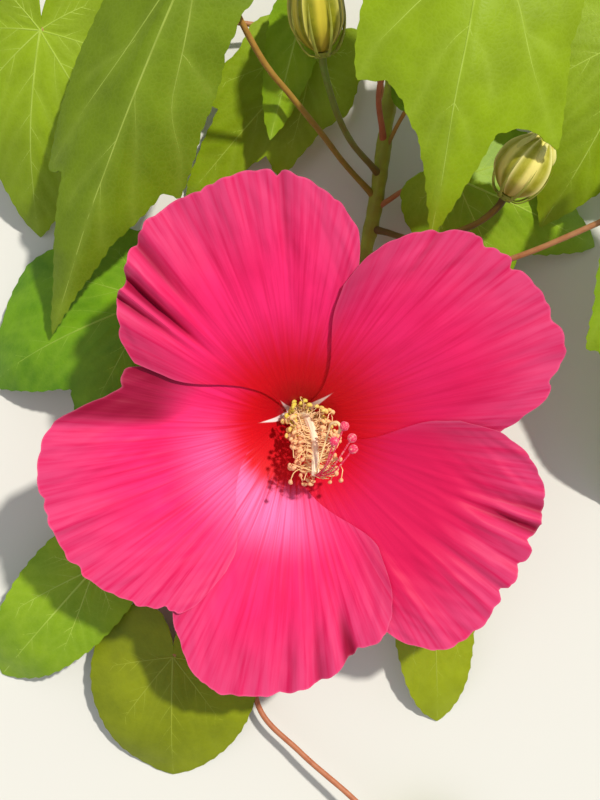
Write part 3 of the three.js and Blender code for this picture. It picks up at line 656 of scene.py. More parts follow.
def coat(tree, shader, colour, height, strength, depth_mm):
    """Gives a shader its colour, and a fine relief of a depth in mm."""
    relief = node(tree, "ShaderNodeBump", {
        "Strength": strength, "Distance": depth_mm * MM, "Height": height,
    })
    tree.links.new(colour, shader.inputs["Base Color"])
    tree.links.new(relief.outputs["Normal"], shader.inputs["Normal"])


# %% [markdown]
# A hibiscus petal is a thin velvety blade of pink, waxy and deep red in the throat, with a
# paler zone just outside it on the lower petals, a dustier rim and pale feet to its claws. The
# paler zone is partly the petal's own lighter pink and partly a painted highlight, where the sun
# glances off the lower petals. The white of the claw feet carries painted light where the gaps
# between the claws would let light through. The crimson in the valleys of the folds and along
# the seams between petals is painted shade, and so is part of the deeper pink on the petals that
# face away from the key lamp. The places of those zones are worked out at each vertex and kept
# as attributes. The streaks along the veins are noise on the petal's own UV map, whose units are
# millimetres: u runs across the veins and v along them. Streaks and mottles are given by their
# size across and along.

# %% Petal colours
PETAL_PINK = "#FA2A72"
# a deeper pink for mottles and streaks, and also painted shade on the petals that face away from the key
# lamp
DEEP_PINK_AND_SHADE = "#D41250"
# painted shade in the valleys of the folds and along the seams between petals
PAINTED_FOLD_SHADE = "#900A32"
THROAT_RED = "#D90A1E"
THROAT_DARK = "#B2040F"
# partly the lower petals' own lighter pink and partly a painted highlight
PALE_ZONE_AND_HIGHLIGHT = "#FF80C0"
RIM_DUSTY = "#CC1E58"
RIM_FROST = "#F070A2"
RIM_EDGE = "#F284A8"
# the pale claw feet, with painted light where gaps between the claws would let light through
CLAW_WHITE_AND_GAP_LIGHT = "#FFF1F0"
SHEEN_PINK = "#FF9CC4"
STREAK = (1.0, 34)
MOTTLE = (9, 16)
STREAK_DEPTH = 0.35
ZONES = ("deep", "fold", "throat", "dark", "pale", "rim", "edge", "white")

petal_skin, tree, shader = surface(
    "velvety_petal", 0.52, Sheen_Weight=0.06, Sheen_Roughness=0.4,
    Sheen_Tint=linear(SHEEN_PINK), Specular_IOR_Level=0.24,
)
own = node(tree, "ShaderNodeUVMap", uv_map="petal_mm")
zone = {name: node(tree, "ShaderNodeAttribute", attribute_name=name).outputs["Fac"] for name in ZONES}


def drawn_out(size, detail, roughness):
    """A random pattern with a size across the veins and along them."""
    stretched = node(tree, "ShaderNodeMapping", {
        "Vector": own.outputs["UV"], "Scale": (1 / size[0], 1 / size[1], 1),
    })
    pattern = node(tree, "ShaderNodeTexNoise", {
        "Vector": stretched.outputs["Vector"], "Scale": 1.0, "Detail": detail, "Roughness": roughness,
    })
    return pattern.outputs["Fac"]


def between_streaks(amount, share):
    """An amount that the streaks hold back by a share."""
    free = node(tree, "ShaderNodeMath", {0: streak, 1: -share, 2: 1.0}, operation="MULTIPLY_ADD")
    left = node(tree, "ShaderNodeMath", {0: amount, 1: free.outputs[0]}, operation="MULTIPLY")
    return left.outputs[0]


streaks = drawn_out(STREAK, 4.0, 0.55)
streak = node(tree, "ShaderNodeMapRange", {
    "Value": streaks, "From Min": 0.44, "From Max": 0.68,
}).outputs["Result"]
mottle = node(tree, "ShaderNodeMapRange", {
    "Value": drawn_out(MOTTLE, 3.0, 0.5), "From Min": 0.45, "From Max": 0.8,
}).outputs["Result"]
colour = glazed(
    tree, linear(PETAL_PINK),
    (DEEP_PINK_AND_SHADE, mottle, 0.55),
    (DEEP_PINK_AND_SHADE, streak, 0.75),
    (DEEP_PINK_AND_SHADE, zone["deep"], 1.0),
    (RIM_DUSTY, between_streaks(zone["rim"], 0.25), 0.85),
    (RIM_FROST, between_streaks(zone["rim"], 1.0), 0.24),
    (PAINTED_FOLD_SHADE, between_streaks(zone["fold"], 0.2), 1.0),
    (PALE_ZONE_AND_HIGHLIGHT, between_streaks(zone["pale"], 0.7), 0.95),
    (THROAT_RED, zone["throat"], 1.0),
    (THROAT_DARK, zone["dark"], 0.7),
    (RIM_EDGE, zone["edge"], 0.24),
    (CLAW_WHITE_AND_GAP_LIGHT, zone["white"], 1.0),
)
coat(tree, shader, colour, streaks, 0.35, STREAK_DEPTH)
print("made the finish", petal_skin.name)

# %% [markdown]
# The throat's red ends in a ragged line and gets darker towards the middle in two steps, each a
# strength and the distances between which it fades. The pale zone, partly a painted highlight,
# lies round one direction only. Each arm of the white star is pale claw feet, with painted light
# where the gaps between the claws would let light through. An arm is given as a direction, a
# length and a half width at its foot.

# %% Where the throat's colours lie
RAGGED = 3.2
DARK_STEPS = [(0.5, 8, 19), (0.3, 15, 34)]
LIGHT_ANGLE = -131
LIGHT_HALF = (25, 75)
LIGHT_STARTS = (12, 20)
LIGHT_FADES = (24, 42)
STAR_ARMS = [(177, 11, 1.6), (123, 8.2, 1.5), (43, 15, 2.0)]
ARM_SIDES = 1.2
ARM_SOFT_IN = 0.2
ARM_SOFT_OUT = 0.12


def off_by(angle, other):
    """The angle from another direction to this one, between -180 and 180 degrees."""
    return (angle - other + 180) % 360 - 180


def star_white(distance, angle):
    """How white a place is: the pale feet of the claws, with painted light where the gaps between them would
    let light through, show like the arms of a star.
    """
    most = 0.0
    for turn, length, foot_half in STAR_ARMS:
        off = math.radians(off_by(angle, turn))
        if abs(off) < ARM_SIDES:
            half = foot_half * (1 - distance / length)
            edge = distance * abs(math.sin(off))
            most = max(most, fading(edge, half - ARM_SOFT_IN, half + ARM_SOFT_OUT))
    return most


def throat_amounts(petal, distance, angle):
    """How red, dark, pale and white a place near the throat is."""
    ragged = distance + RAGGED * swell(angle * 0.55, distance * 0.05, petal["seed"])
    near = fading(abs(off_by(angle, LIGHT_ANGLE)), *LIGHT_HALF)
    # the pale zone round one direction: partly the petal's own lighter pink, partly a painted highlight
    lit = petal["pale"] * near * smoothstep(ragged, *LIGHT_STARTS) * fading(distance, *LIGHT_FADES)
    return {
        "throat": fading(ragged, *petal["eye"]),
        "dark": sum(strength * fading(distance, inner, outer) for strength, inner, outer in DARK_STEPS),
        "pale": lit,
        "white": star_white(distance, angle),
    }


print("white of the star at its foot:", round(star_white(3, STAR_ARMS[0][0]), 2))

# %% [markdown]
# Each petal starts as a flat grid from bmesh. One direction of the grid becomes the way from
# claw to rim, and the other the way across the petal, so the moved grid follows the veins. Its
# rows lie a little closer near the claw. u counts a degree as the 0.72 mm that it measures 41 mm
# from the axis.

# %% Petal meshes
PETAL_COLUMNS = 150
PETAL_ROWS = 130
ROWS_CROWD = 1.1
PETAL_THICK_CLAW = 0.32
PETAL_THICK_RIM = 0.28
PETAL_THINS = (5, 60)
DEGREE_MM = 0.72
SEAM_GROWS = (28, 46)
FOLD_SHADE = (0.4, 2.4)
RIM_SHADE = 30
EDGE_LINE = (0.1, 0.6)
EDGE_GROWS = (30, 50)
SIDE_WIDTH_SHARE = 0.75


def petal_mesh(petal):
    """A petal as a thin closed sheet whose vertices carry the amounts that colour it."""
    bm = bmesh.new()
    layer = {name: bm.verts.layers.float.new(name) for name in (*ZONES, "u", "v")}
    one_side, other_side = petal["deep"]
    bmesh.ops.create_grid(bm, x_segments=PETAL_COLUMNS, y_segments=PETAL_ROWS, size=1)
    for vert in bm.verts:
        across = vert.co.x
        share = ((vert.co.y + 1) / 2) ** ROWS_CROWD
        vert.co, distance, angle, reach, fold = petal_place(petal, share, across)
        # The seam and fold amounts place painted shade along the seams between petals and in the valleys of
        # the folds.
        strength, starts, full = petal["seam"][across > 0]
        seam = strength * smoothstep(abs(across), starts, full) * smoothstep(distance, *SEAM_GROWS)
        to_rim = min(reach - distance, (1 - abs(across)) * SIDE_WIDTH_SHARE * distance)
        amounts = {
            # partly the petal's own deeper pink, partly painted shade on petals turned from the key lamp
            "deep": one_side + (other_side - one_side) * (across + 1) / 2,
            "fold": max(smoothstep(-fold, *FOLD_SHADE), seam),
            "rim": fading(reach - distance, 0, RIM_SHADE),
            "edge": fading(to_rim, *EDGE_LINE) * smoothstep(distance, *EDGE_GROWS),
            "u": angle * DEGREE_MM,
            "v": distance,
            **throat_amounts(petal, distance, angle),
        }
        for name, amount in amounts.items():
            vert[layer[name]] = amount

    def depth(vert):
        thinned = smoothstep(vert[layer["v"]], *PETAL_THINS)
        return PETAL_THICK_CLAW + (PETAL_THICK_RIM - PETAL_THICK_CLAW) * thinned

    face_up(bm, BLOOM_AXIS)
    thicken(bm, depth)
    return bm


def keep_uv(made, name):
    """Writes the u and v that each vertex carries to a UV map on the finished mesh."""
    mesh = made.data
    corner = np.empty(len(mesh.loops), np.int32)
    mesh.loops.foreach_get("vertex_index", corner)
    uv = np.empty((len(mesh.vertices), 2), np.float32)
    for i, axis in enumerate("uv"):
        values = np.empty(len(mesh.vertices), np.float32)
        mesh.attributes[axis].data.foreach_get("value", values)
        uv[:, i] = values
    layer = mesh.uv_layers.new(name=name)
    layer.uv.foreach_set("vector", uv[corner].ravel())


for name, petal in PETALS.items():
    made = finished(name.replace("petal_", "bloom_petal_"), petal_mesh(petal), petal_skin, "petal", name)
    keep_uv(made, "petal_mm")

# %% [markdown]
# A leaf of this hibiscus is palmate: its main veins spread from the top of the stalk to the
# tips of its lobes, and side veins leave them at a slant. An outline is given on one side of
# the midrib, as the angle from it and the distance there as a share of the leaf's length.

# %% Leaf outlines
LOBED = [
    (0, 1), (9, 0.8), (19, 0.63), (25, 0.57), (31, 0.64), (37, 0.7), (45, 0.58), (58, 0.47),
    (70, 0.46), (78, 0.47), (95, 0.38), (120, 0.34), (145, 0.3), (165, 0.2), (180, 0.05),
]
BROAD = [
    (0, 1), (9, 0.87), (19, 0.79), (30, 0.75), (40, 0.71), (49, 0.62), (58, 0.53), (70, 0.48),
    (78, 0.46), (95, 0.38), (120, 0.34), (145, 0.3), (165, 0.2), (180, 0.05),
]
SLENDER = [
    (0, 1), (9, 0.8), (19, 0.62), (25, 0.5), (31, 0.49), (37, 0.52), (45, 0.41), (58, 0.32),
    (75, 0.26), (95, 0.23), (120, 0.21), (145, 0.19), (165, 0.15), (180, 0.05),
]
NARROW_LEFT = [
    (0, 1), (2.7, 0.88), (6.7, 0.735), (11.2, 0.612), (15.2, 0.648), (20.7, 0.536), (26.2, 0.452),
    (31.4, 0.395), (36, 0.34), (44, 0.27), (60, 0.21), (90, 0.18), (125, 0.16), (155, 0.12), (180, 0.04),
]
NARROW_RIGHT = [
    (0, 1), (2, 0.86), (5.6, 0.715), (10.2, 0.635), (14.6, 0.562), (18.8, 0.575), (21.4, 0.505),
    (24.4, 0.413), (29.9, 0.335), (37.6, 0.245), (54, 0.185), (90, 0.16), (125, 0.15), (155, 0.12),
    (180, 0.04),
]
WIDE_LEFT = [
    (0, 1), (1.6, 0.9), (5, 0.771), (10.1, 0.66), (16.1, 0.609), (20.2, 0.569), (28.5, 0.543),
    (36.6, 0.612), (44, 0.554), (50.8, 0.5), (58.7, 0.45), (72, 0.42), (90, 0.39), (112, 0.35),
    (137, 0.3), (160, 0.2), (180, 0.05),
]
WIDE_RIGHT = [
    (0, 1), (2.4, 0.908), (6, 0.785), (10.5, 0.68), (13.8, 0.612), (22.4, 0.606), (27.8, 0.64),
    (33, 0.735), (37.8, 0.634), (44, 0.542), (53.5, 0.445), (66, 0.415), (90, 0.36), (115, 0.33),
    (140, 0.29), (162, 0.19), (180, 0.05),
]
ROUND = [
    (0, 1), (14, 0.93), (30, 0.84), (48, 0.74), (68, 0.66), (90, 0.58), (115, 0.52), (140, 0.46),
    (162, 0.34), (180, 0.08),
]
NARROW = [
    (0, 1), (6, 0.82), (13, 0.62), (22, 0.45), (36, 0.32), (60, 0.2), (95, 0.13), (140, 0.09),
    (180, 0.04),
]

print("points of the lobed outline:", len(LOBED))

# %% [markdown]
# Each leaf then has the place where its stalk joins it, the place of its tip, how it bows,
# folds and rolls, and its stalk: how far along the stem that leaves, the points it passes, and
# its radius. A width makes the leaf wider or narrower than its outlines, and the tone names one
# of the greens below.

# %% The leaves and their stalks
LEAVES = {
    "upper_left": {
        "base": (-28, 128.6, 66), "tip": (-79.2, 20.8, 22), "left": NARROW_RIGHT, "right": NARROW_LEFT,
        "bow": 0.06, "fold": 24, "roll": 4, "from": 0.735, "radius": 0.95, "tone": "dusky",
        "via": [(14.7, 76.7, 15), (6.4, 84.9, 25), (-3.1, 94.1, 34.5), (-11, 102, 42)],
    },
    "upper_right": {
        "base": (51.2, 123.9, 74), "tip": (38.2, 47.1, 50), "left": WIDE_RIGHT, "right": WIDE_LEFT,
        "bow": 0.09, "fold": 12, "roll": -4, "from": 0.815, "radius": 0.95, "tone": "bright",
        "via": [(25, 97, 25), (30, 112, 44), (41, 124, 62)],
    },
    "far_left": {
        "base": (-79.3, 112.8, 38), "tip": (-88, 55, 0.2), "left": LOBED, "right": LOBED,
        "bow": 0.12, "fold": 8, "roll": 6, "from": 0.87, "radius": 0.9, "tone": "bright",
        "via": [(24, 110.5, 9), (2, 122, 5), (-42, 124, 17)],
    },
    "behind_bud": {
        "base": (4, 112, 18), "tip": (-38.9, 67.7, 0.2), "left": LOBED, "right": LOBED, "width": 0.72,
        "bow": 0.06, "fold": 4, "roll": -2, "from": 0.93, "radius": 0.8, "tone": "bright",
        "via": [(20, 113.5, 15)],
    },
    "left": {
        "base": (-48, 32, 20), "tip": (-105.6, 5.1, 0.2), "left": LOBED, "right": BROAD,
        "bow": 0.14, "fold": 10, "roll": 8, "from": 0.56, "radius": 0.85, "tone": "deep",
        "via": [(0, 31, 8), (-26, 34, 14)],
    },
    "far_right": {
        "base": (105.5, 112.2, 40), "tip": (78, 56, 16), "left": LOBED, "right": LOBED,
        "bow": 0.1, "fold": 10, "roll": -8, "from": 0.96, "radius": 0.9, "tone": "bright",
        "via": [(56, 122, 31), (86, 117, 33)],
    },
    "right": {
        "base": (107, 61, 52), "tip": (107, -38, 0.2), "left": LOBED, "right": SLENDER, "width": 0.58,
        "bow": 0.12, "fold": 12, "roll": 0, "from": 0.64, "radius": 0.9, "tone": "fresh",
        "via": [(38, 40, 17), (62.9, 43, 33), (88, 52.5, 43)],
    },
    "lower_left": {
        "base": (-41.5, -84, 14), "tip": (-43, -127, 0.2), "left": ROUND, "right": ROUND,
        "bow": 0.1, "fold": 5, "roll": 0, "from": 0.12, "radius": 0.8, "tone": "olive",
        "via": [(-30, -72, 8)],
    },
    "low_left": {
        "base": (-66, -54, 20), "tip": (-101, -93, 0.2), "left": ROUND, "right": ROUND, "width": 0.5,
        "bow": 0.12, "fold": 6, "roll": 0, "from": 0.25, "radius": 0.8, "tone": "fresh",
        "via": [(-28, -46, 11)],
    },
    "lower_right": {
        "base": (43, -60, 14), "tip": (46.5, -109, 0.2), "left": ROUND, "right": ROUND, "width": 0.42,
        "bow": 0.1, "fold": 6, "roll": 0, "from": 0.22, "radius": 0.8, "tone": "lime",
        "via": [(18, -52, 7)],
    },
    "foot": {
        "base": (36, -150, 13), "tip": (64, -176, 0.2), "left": LOBED, "right": LOBED,
        "bow": 0.12, "fold": 8, "roll": 0, "from": 0.11, "radius": 0.95, "tone": "fresh",
        "via": [(-14, -101.9, 6), (0, -116.9, 8), (18, -131.8, 11)],
    },
    "shoot": {
        "base": (35, 94, 21), "tip": (33.5, 112, 31), "left": NARROW, "right": NARROW, "width": 1.5,
        "bow": 0.06, "fold": 34, "roll": 10, "from": 0.8, "radius": 0.6, "tone": "deep",
        "via": [(31.5, 89, 16)],
    },
    "young": {
        "base": (2, 127, 31.5), "tip": (-9.5, 82, 26), "left": NARROW, "right": NARROW, "width": 1.1,
        "bow": 0.04, "fold": 26, "roll": -8, "from": 0.985, "radius": 0.7, "tone": "fresh",
        "via": [(20, 131, 26), (6, 133.5, 27)],
    },
    "stem_side": {
        "base": (50, 71, 21), "tip": (100, 52, 0.2), "left": LOBED, "right": LOBED,
        "bow": 0.1, "fold": 10, "roll": 6, "from": 0.72, "radius": 0.8, "tone": "fresh",
        "via": [(35, 69, 14)],
    },
}


def leaf_axes(leaf):
    """Along a leaf's midrib, across it to the left, up from its face, and its length."""
    ahead = Vector(leaf["tip"]) - Vector(leaf["base"])
    length = ahead.length
    ahead.normalize()
    side = Vector((0, 0, 1)).cross(ahead).normalized()
    side.rotate(Quaternion(ahead, math.radians(leaf["roll"])))
    return ahead, side, ahead.cross(side), length


MIDRIB_CREASE = 0.012
SIDE_DROOP = 0.22


def leaf_place(leaf, axes, run, across):
    """A place on a leaf's face, from shares of its length along and across the midrib."""
    ahead, side, up, length = axes
    fold = math.radians(leaf["fold"])
    bow = 4 * leaf["bow"] * run * (1 - run) if run > 0 else 2 * leaf["bow"] * run
    sideways = math.hypot(across, MIDRIB_CREASE) - MIDRIB_CREASE
    down = sideways * math.sin(fold) + SIDE_DROOP * across * across
    return (
        Vector(leaf["base"]) + ahead * (length * run)
        + side * (length * across * math.cos(fold)) + up * (length * (bow - down))
    )


print("length of leaf upper_left in mm:", round(leaf_axes(LEAVES["upper_left"])[3]))


# %% [markdown]
# The edge of the real leaf is cut into small teeth that point to its tip. The outline is first
# walked at an even pace, so that the teeth are all one size, and each tooth then moves the edge
# out steeply on the side of the tip and slowly back on the other. The tip itself and the base
# have none.

# %% Leaf edges
EDGE_DEGREES = 0.5
TOOTH_SPACING = 4.6
TOOTH_DEPTH = 0.55
TOOTH_STEEP = 0.25
PLAIN_TIP = 6
PLAIN_BASE = 18


def leaf_edge(leaf, length, count):
    """Evenly spaced places round a leaf's edge, as shares of its length, with its teeth."""
    width = leaf.get("width", 1)
    turns = [(angle, 1, leaf["left"]) for angle in np.arange(0, 180, EDGE_DEGREES)]
    turns += [(angle, -1, leaf["right"]) for angle in np.arange(180, -EDGE_DEGREES, -EDGE_DEGREES)]
    walked = []
    for angle, side, pairs in turns:
        reach = along(pairs, angle)
        turn = math.radians(angle)
        walked.append((reach * math.cos(turn), side * reach * math.sin(turn) * width))
    walked = np.array(walked)
    gone = np.concatenate([[0], np.cumsum(np.linalg.norm(np.diff(walked, axis=0), axis=1))])
    even = np.linspace(0, gone[-1], count + 1)
    edge = np.stack([np.interp(even, gone, walked[:, axis]) for axis in (0, 1)], axis=1)
    ahead = np.roll(edge, -1, axis=0) - np.roll(edge, 1, axis=0)
    ahead /= np.maximum(np.linalg.norm(ahead, axis=1, keepdims=True), 1e-9)
    outward = np.stack([-ahead[:, 1], ahead[:, 0]], axis=1)
    outward *= np.sign((outward * edge).sum(axis=1, keepdims=True))
    half = gone[-1] / 2
    from_tip = np.minimum(even, gone[-1] - even) * length
    part = (from_tip / TOOTH_SPACING) % 1
    tooth = np.where(part < TOOTH_STEEP, part / TOOTH_STEEP, (1 - part) / (1 - TOOTH_STEEP))
    fade = np.clip(from_tip / PLAIN_TIP, 0, 1) * np.clip((half * length - from_tip) / PLAIN_BASE, 0, 1)
    return edge + outward * (tooth * fade * TOOTH_DEPTH / length)[:, None]


# %% [markdown]
# The veins could be painted on, but a line half a millimetre wide needs either an image or a
# very fine mesh. Here they are what they are on the leaf: thin tapering limbs that lie in the
# blade and stand a little proud of its face. A main vein runs to the tip of each lobe, and side
# veins leave it nearly in pairs. The two leaves nearest the camera instead have the veins that
# the photograph shows, drawn as shares of the leaf's length along and across its midrib. Each
# kind of vein has its radius in mm at its foot and at its tip.

# %% Leaf vein sizes
MIDRIB_RADIUS = (0.44, 0.14)
LOBE_VEIN_RADIUS = (0.32, 0.12)
SIDE_VEIN_RADIUS = (0.17, 0.1)
SEEN_VEINS = {
    "upper_left": [
        (MIDRIB_RADIUS, [(0, 0), (0.3, 0), (0.7, 0), (0.97, 0)]),
        (LOBE_VEIN_RADIUS, [(0, 0), (0.12, 0.039), (0.223, 0.064), (0.31, 0.08), (0.354, 0.09),
                            (0.403, 0.117), (0.459, 0.155), (0.54, 0.182)]),
        (SIDE_VEIN_RADIUS, [(0.236, 0.067), (0.243, 0.083), (0.268, 0.12), (0.286, 0.152)]),
        (SIDE_VEIN_RADIUS, [(0.35, 0), (0.362, 0.004), (0.435, 0.036), (0.507, 0.061), (0.584, 0.08),
                            (0.634, 0.103)]),
        (SIDE_VEIN_RADIUS, [(0.575, 0), (0.621, 0.015), (0.672, 0.034), (0.72, 0.05)]),
        (LOBE_VEIN_RADIUS, [(0, 0), (0.2, -0.05), (0.4, -0.11), (0.6, -0.163)]),
        (SIDE_VEIN_RADIUS, [(0.253, -0.058), (0.294, -0.086), (0.336, -0.124), (0.381, -0.155)]),
        (SIDE_VEIN_RADIUS, [(0.47, 0), (0.53, -0.028), (0.6, -0.055), (0.66, -0.072)]),
    ],
    "upper_right": [
        (MIDRIB_RADIUS, [(0, 0), (0.18, -0.018), (0.271, -0.019), (0.516, -0.023), (0.75, -0.012),
                         (0.97, 0)]),
        (LOBE_VEIN_RADIUS, [(0, 0), (0.1, -0.1), (0.207, -0.198), (0.286, -0.259), (0.371, -0.318),
                            (0.477, -0.357)]),
        (LOBE_VEIN_RADIUS, [(0, 0), (0.08, 0.07), (0.154, 0.136), (0.239, 0.177), (0.355, 0.234),
                            (0.458, 0.297), (0.59, 0.379)]),
        (SIDE_VEIN_RADIUS, [(0.26, -0.019), (0.304, -0.058), (0.363, -0.092), (0.426, -0.114),
                            (0.501, -0.134), (0.57, -0.16)]),
        (SIDE_VEIN_RADIUS, [(0.516, -0.023), (0.561, -0.06), (0.614, -0.076), (0.66, -0.09)]),
        (SIDE_VEIN_RADIUS, [(0.265, -0.019), (0.295, -0.003), (0.331, 0.04), (0.381, 0.069), (0.46, 0.1)]),
        (SIDE_VEIN_RADIUS, [(0.22, 0.17), (0.253, 0.192), (0.267, 0.24), (0.291, 0.297)]),
        (SIDE_VEIN_RADIUS, [(0.516, -0.023), (0.58, 0.03), (0.64, 0.06)]),
    ],
}
print("veins seen on the two nearest leaves:", sum(map(len, SEEN_VEINS.values())))


# %% [markdown]
# The other leaves get theirs by one rule. A main vein runs to each point where the outline
# stands out, and the outlines without such points, and the lowest lobes, have theirs given as
# an angle and a reach.

# %% Main veins
ROUND_LEAF_VEINS = [(34, 0.8), (74, 0.62)]
BROAD_LEAF_VEINS = [(38, 0.7), (74, 0.46)]
LOWEST_VEIN = (122, 0.3)
MAIN_VEIN_ENDS = 0.975
MAIN_VEIN_BEND = 0.03
MAIN_VEIN_POINTS = 13
SEEN_VEIN_POINTS = 16


def lobe_tips(pairs):
    """Where an outline comes to the point of a lobe, as angle and reach."""
    found = [pairs[i] for i in range(1, len(pairs) - 1)
             if pairs[i][1] >= pairs[i - 1][1] and pairs[i][1] > pairs[i + 1][1]]
    if pairs is ROUND:
        found = ROUND_LEAF_VEINS
    if pairs is BROAD:
        found = BROAD_LEAF_VEINS
    return found + [LOWEST_VEIN] if pairs in (LOBED, BROAD) else found


def main_vein(angle, reach, width):
    """A main vein from the stalk to the tip of a lobe, bowed a little outwards."""
    turn = math.radians(angle)
    end = MAIN_VEIN_ENDS * reach * np.array([math.cos(turn), math.sin(turn) * width])
    bend = MAIN_VEIN_BEND * np.array([end[1], -end[0]]) * np.sign(angle)
    return np.array([end * t - bend * 4 * t * (1 - t) for t in np.linspace(0, 1, MAIN_VEIN_POINTS)])


def smoothed(points, count):
    """A smooth line of count places through a few points of a leaf's plane."""
    way = route([(x, y, 0) for x, y in points])
    return np.array([at(way, i / (count - 1))[:2] for i in range(count)])


print("lobes of the lobed outline:", lobe_tips(LOBED))


# %% [markdown]
# A side vein starts at a share of its main vein's length and leans away from it, then bends
# forward step by step. It ends near the edge of the leaf, or where it comes closer to another
# main vein than to its own.

# %% Side veins
SIDE_VEINS = [0.2, 0.38, 0.55, 0.72]
SIDE_VEIN_SHIFT = 0.03
SIDE_VEIN_ANGLE = 36
SIDE_VEIN_BEND = 1.2
SIDE_VEIN_STEP = 0.022
SIDE_VEIN_STEPS = 26
SIDE_VEIN_ENDS = 0.955
CLOSER_BY = 0.8


def nearest_on(points, lines):
    """The shortest distance from each point to any of several lines."""
    a = np.concatenate([line[:-1] for line in lines])
    way = np.concatenate([line[1:] - line[:-1] for line in lines])
    off = points[:, None] - a
    t = np.clip((off * way).sum(axis=2) / np.maximum((way * way).sum(axis=1), 1e-12), 0, 1)
    return np.linalg.norm(off - t[..., None] * way, axis=2).min(axis=1)


def within(leaf, place, share):
    """Whether a place lies inside a share of the leaf's outline."""
    across = place[1] / leaf.get("width", 1)
    pairs = leaf["left"] if across > 0 else leaf["right"]
    angle = abs(math.degrees(math.atan2(across, place[0])))
    return math.hypot(place[0], across) < share * along(pairs, angle)


def side_vein(leaf, main, others, share, side):
    """The places of one side vein in the leaf's own plane."""
    where = (share + SIDE_VEIN_SHIFT * side) * (len(main) - 1)
    low = int(where)
    ahead = main[low + 1] - main[low]
    line = [main[low] + ahead * (where - low)]
    lean = math.atan2(ahead[1], ahead[0]) + side * math.radians(SIDE_VEIN_ANGLE)
    most = 2 + SIDE_VEIN_STEPS * np.linalg.norm(main[-1])
    while len(line) < most:
        lean -= side * math.radians(SIDE_VEIN_BEND)
        place = line[-1] + SIDE_VEIN_STEP * np.array([math.cos(lean), math.sin(lean)])
        own = nearest_on(place[None], [main])[0]
        crossed = bool(others) and nearest_on(place[None], others)[0] < CLOSER_BY * own
        if crossed or not within(leaf, place, SIDE_VEIN_ENDS):
            break
        line.append(place)
    return np.array(line)


def leaf_veins(name, leaf):
    """Main and side veins as lines in the leaf's own plane, each with its two end radii."""
    if name in SEEN_VEINS:
        return [(smoothed(points, SEEN_VEIN_POINTS), radii) for radii, points in SEEN_VEINS[name]]
    tips = [(0, 1.0), *lobe_tips(leaf["left"])]
    tips += [(-angle, reach) for angle, reach in lobe_tips(leaf["right"])]
    mains = [main_vein(angle, reach, leaf.get("width", 1)) for angle, reach in tips]
    veins = [(line, LOBE_VEIN_RADIUS if i else MIDRIB_RADIUS) for i, line in enumerate(mains)]
    for main in mains:
        others = [line for line in mains if line is not main]
        for side in (1, -1):
            for share in SIDE_VEINS:
                line = side_vein(leaf, main, others, share, side)
                if len(line) > 2:
                    veins.append((line, SIDE_VEIN_RADIUS))
    return veins


print("veins of leaf far_left:", len(leaf_veins("far_left", LEAVES["far_left"])))


# %% [markdown]
# A leaf's face is satin, because it has a thin wax, and it is never one green. Here the blade
# runs from its sunny green to a deeper one in soft patches, turns towards the colour of the
# veins close to them, and carries the fine net that joins them, about 1.6 mm from mesh to mesh.
# Each tone is its sunny green, its deep green and the green of its veins.

# %% Leaf greens
TONES = {
    "dusky": ("#70880E", "#617708", "#A0B248"),
    "bright": ("#8AA40C", "#7B9206", "#AEC44A"),
    "fresh": ("#88A812", "#72940A", "#A6C048"),
    "deep": ("#6E9A0E", "#507E08", "#8CAC34"),
    "olive": ("#828C08", "#6E7806", "#949E28"),
    "lime": ("#939F12", "#848F0C", "#A0AC30"),
}
NET_SPACING = 1.6
PATCH_SIZE = 14
THREAD_WIDTH = 0.12
NET_DEPTH = 0.25
VEIN_PATCH_SIZE = 9


def leaf_blade_finish(tone, sunny, deep, vein):
    """The finish of a leaf's blade in one tone."""
    made, tree, shader = surface(f"waxy_leaf_blade_{tone}", 0.48, Specular_IOR_Level=0.3)
    place = node(tree, "ShaderNodeTexCoord").outputs["Object"]
    near = node(tree, "ShaderNodeAttribute", attribute_name="near")
    patches = node(tree, "ShaderNodeTexNoise", {
        "Vector": place, "Scale": 1 / (PATCH_SIZE * MM), "Detail": 5.0, "Roughness": 0.6,
    })
    patch = node(tree, "ShaderNodeMapRange", {
        "Value": patches.outputs["Fac"], "From Min": 0.35, "From Max": 0.65,
    })
    net = node(tree, "ShaderNodeTexVoronoi", {
        "Vector": place, "Scale": 1 / (NET_SPACING * MM),
    }, feature="DISTANCE_TO_EDGE").outputs["Distance"]
    thread = node(tree, "ShaderNodeMapRange", {
        "Value": net, "From Max": THREAD_WIDTH, "To Min": 1.0, "To Max": 0.0,
    })
    colour = glazed(
        tree, linear(deep),
        (sunny, patch.outputs["Result"], 1.0),
        (vein, near.outputs["Fac"], 0.2),
        (vein, thread.outputs["Result"], 0.08),
    )
    coat(tree, shader, colour, net, 0.3, NET_DEPTH)
    return made


def leaf_vein_finish(tone, vein, sunny):
    """The paler, smoother finish of the veins in one tone."""
    made, tree, shader = surface(f"leaf_vein_{tone}", 0.4)
    worn = node(tree, "ShaderNodeTexNoise", {
        "Vector": node(tree, "ShaderNodeTexCoord").outputs["Object"], "Scale": 1 / (VEIN_PATCH_SIZE * MM),
    })
    greener = node(tree, "ShaderNodeMapRange", {
        "Value": worn.outputs["Fac"], "From Min": 0.4, "From Max": 0.75,
    })
    colour = glazed(tree, linear(vein), (sunny, greener.outputs["Result"], 0.6))
    tree.links.new(colour, shader.inputs["Base Color"])
    return made


blade_skins = {tone: leaf_blade_finish(tone, *greens) for tone, greens in TONES.items()}
vein_skins = {tone: leaf_vein_finish(tone, greens[2], greens[0]) for tone, greens in TONES.items()}
print("leaf finishes:", len(blade_skins) + len(vein_skins))

# %% [markdown]
# The blade is a grid wrapped round the top of the stalk: one direction of the grid walks round
# the edge and the other runs out from the middle, and the seam is merged. Between its veins the
# blade swells up a little, towards its edge it waves, and it never sinks into the floor. Longer
# leaves get more points round the edge and more rings.

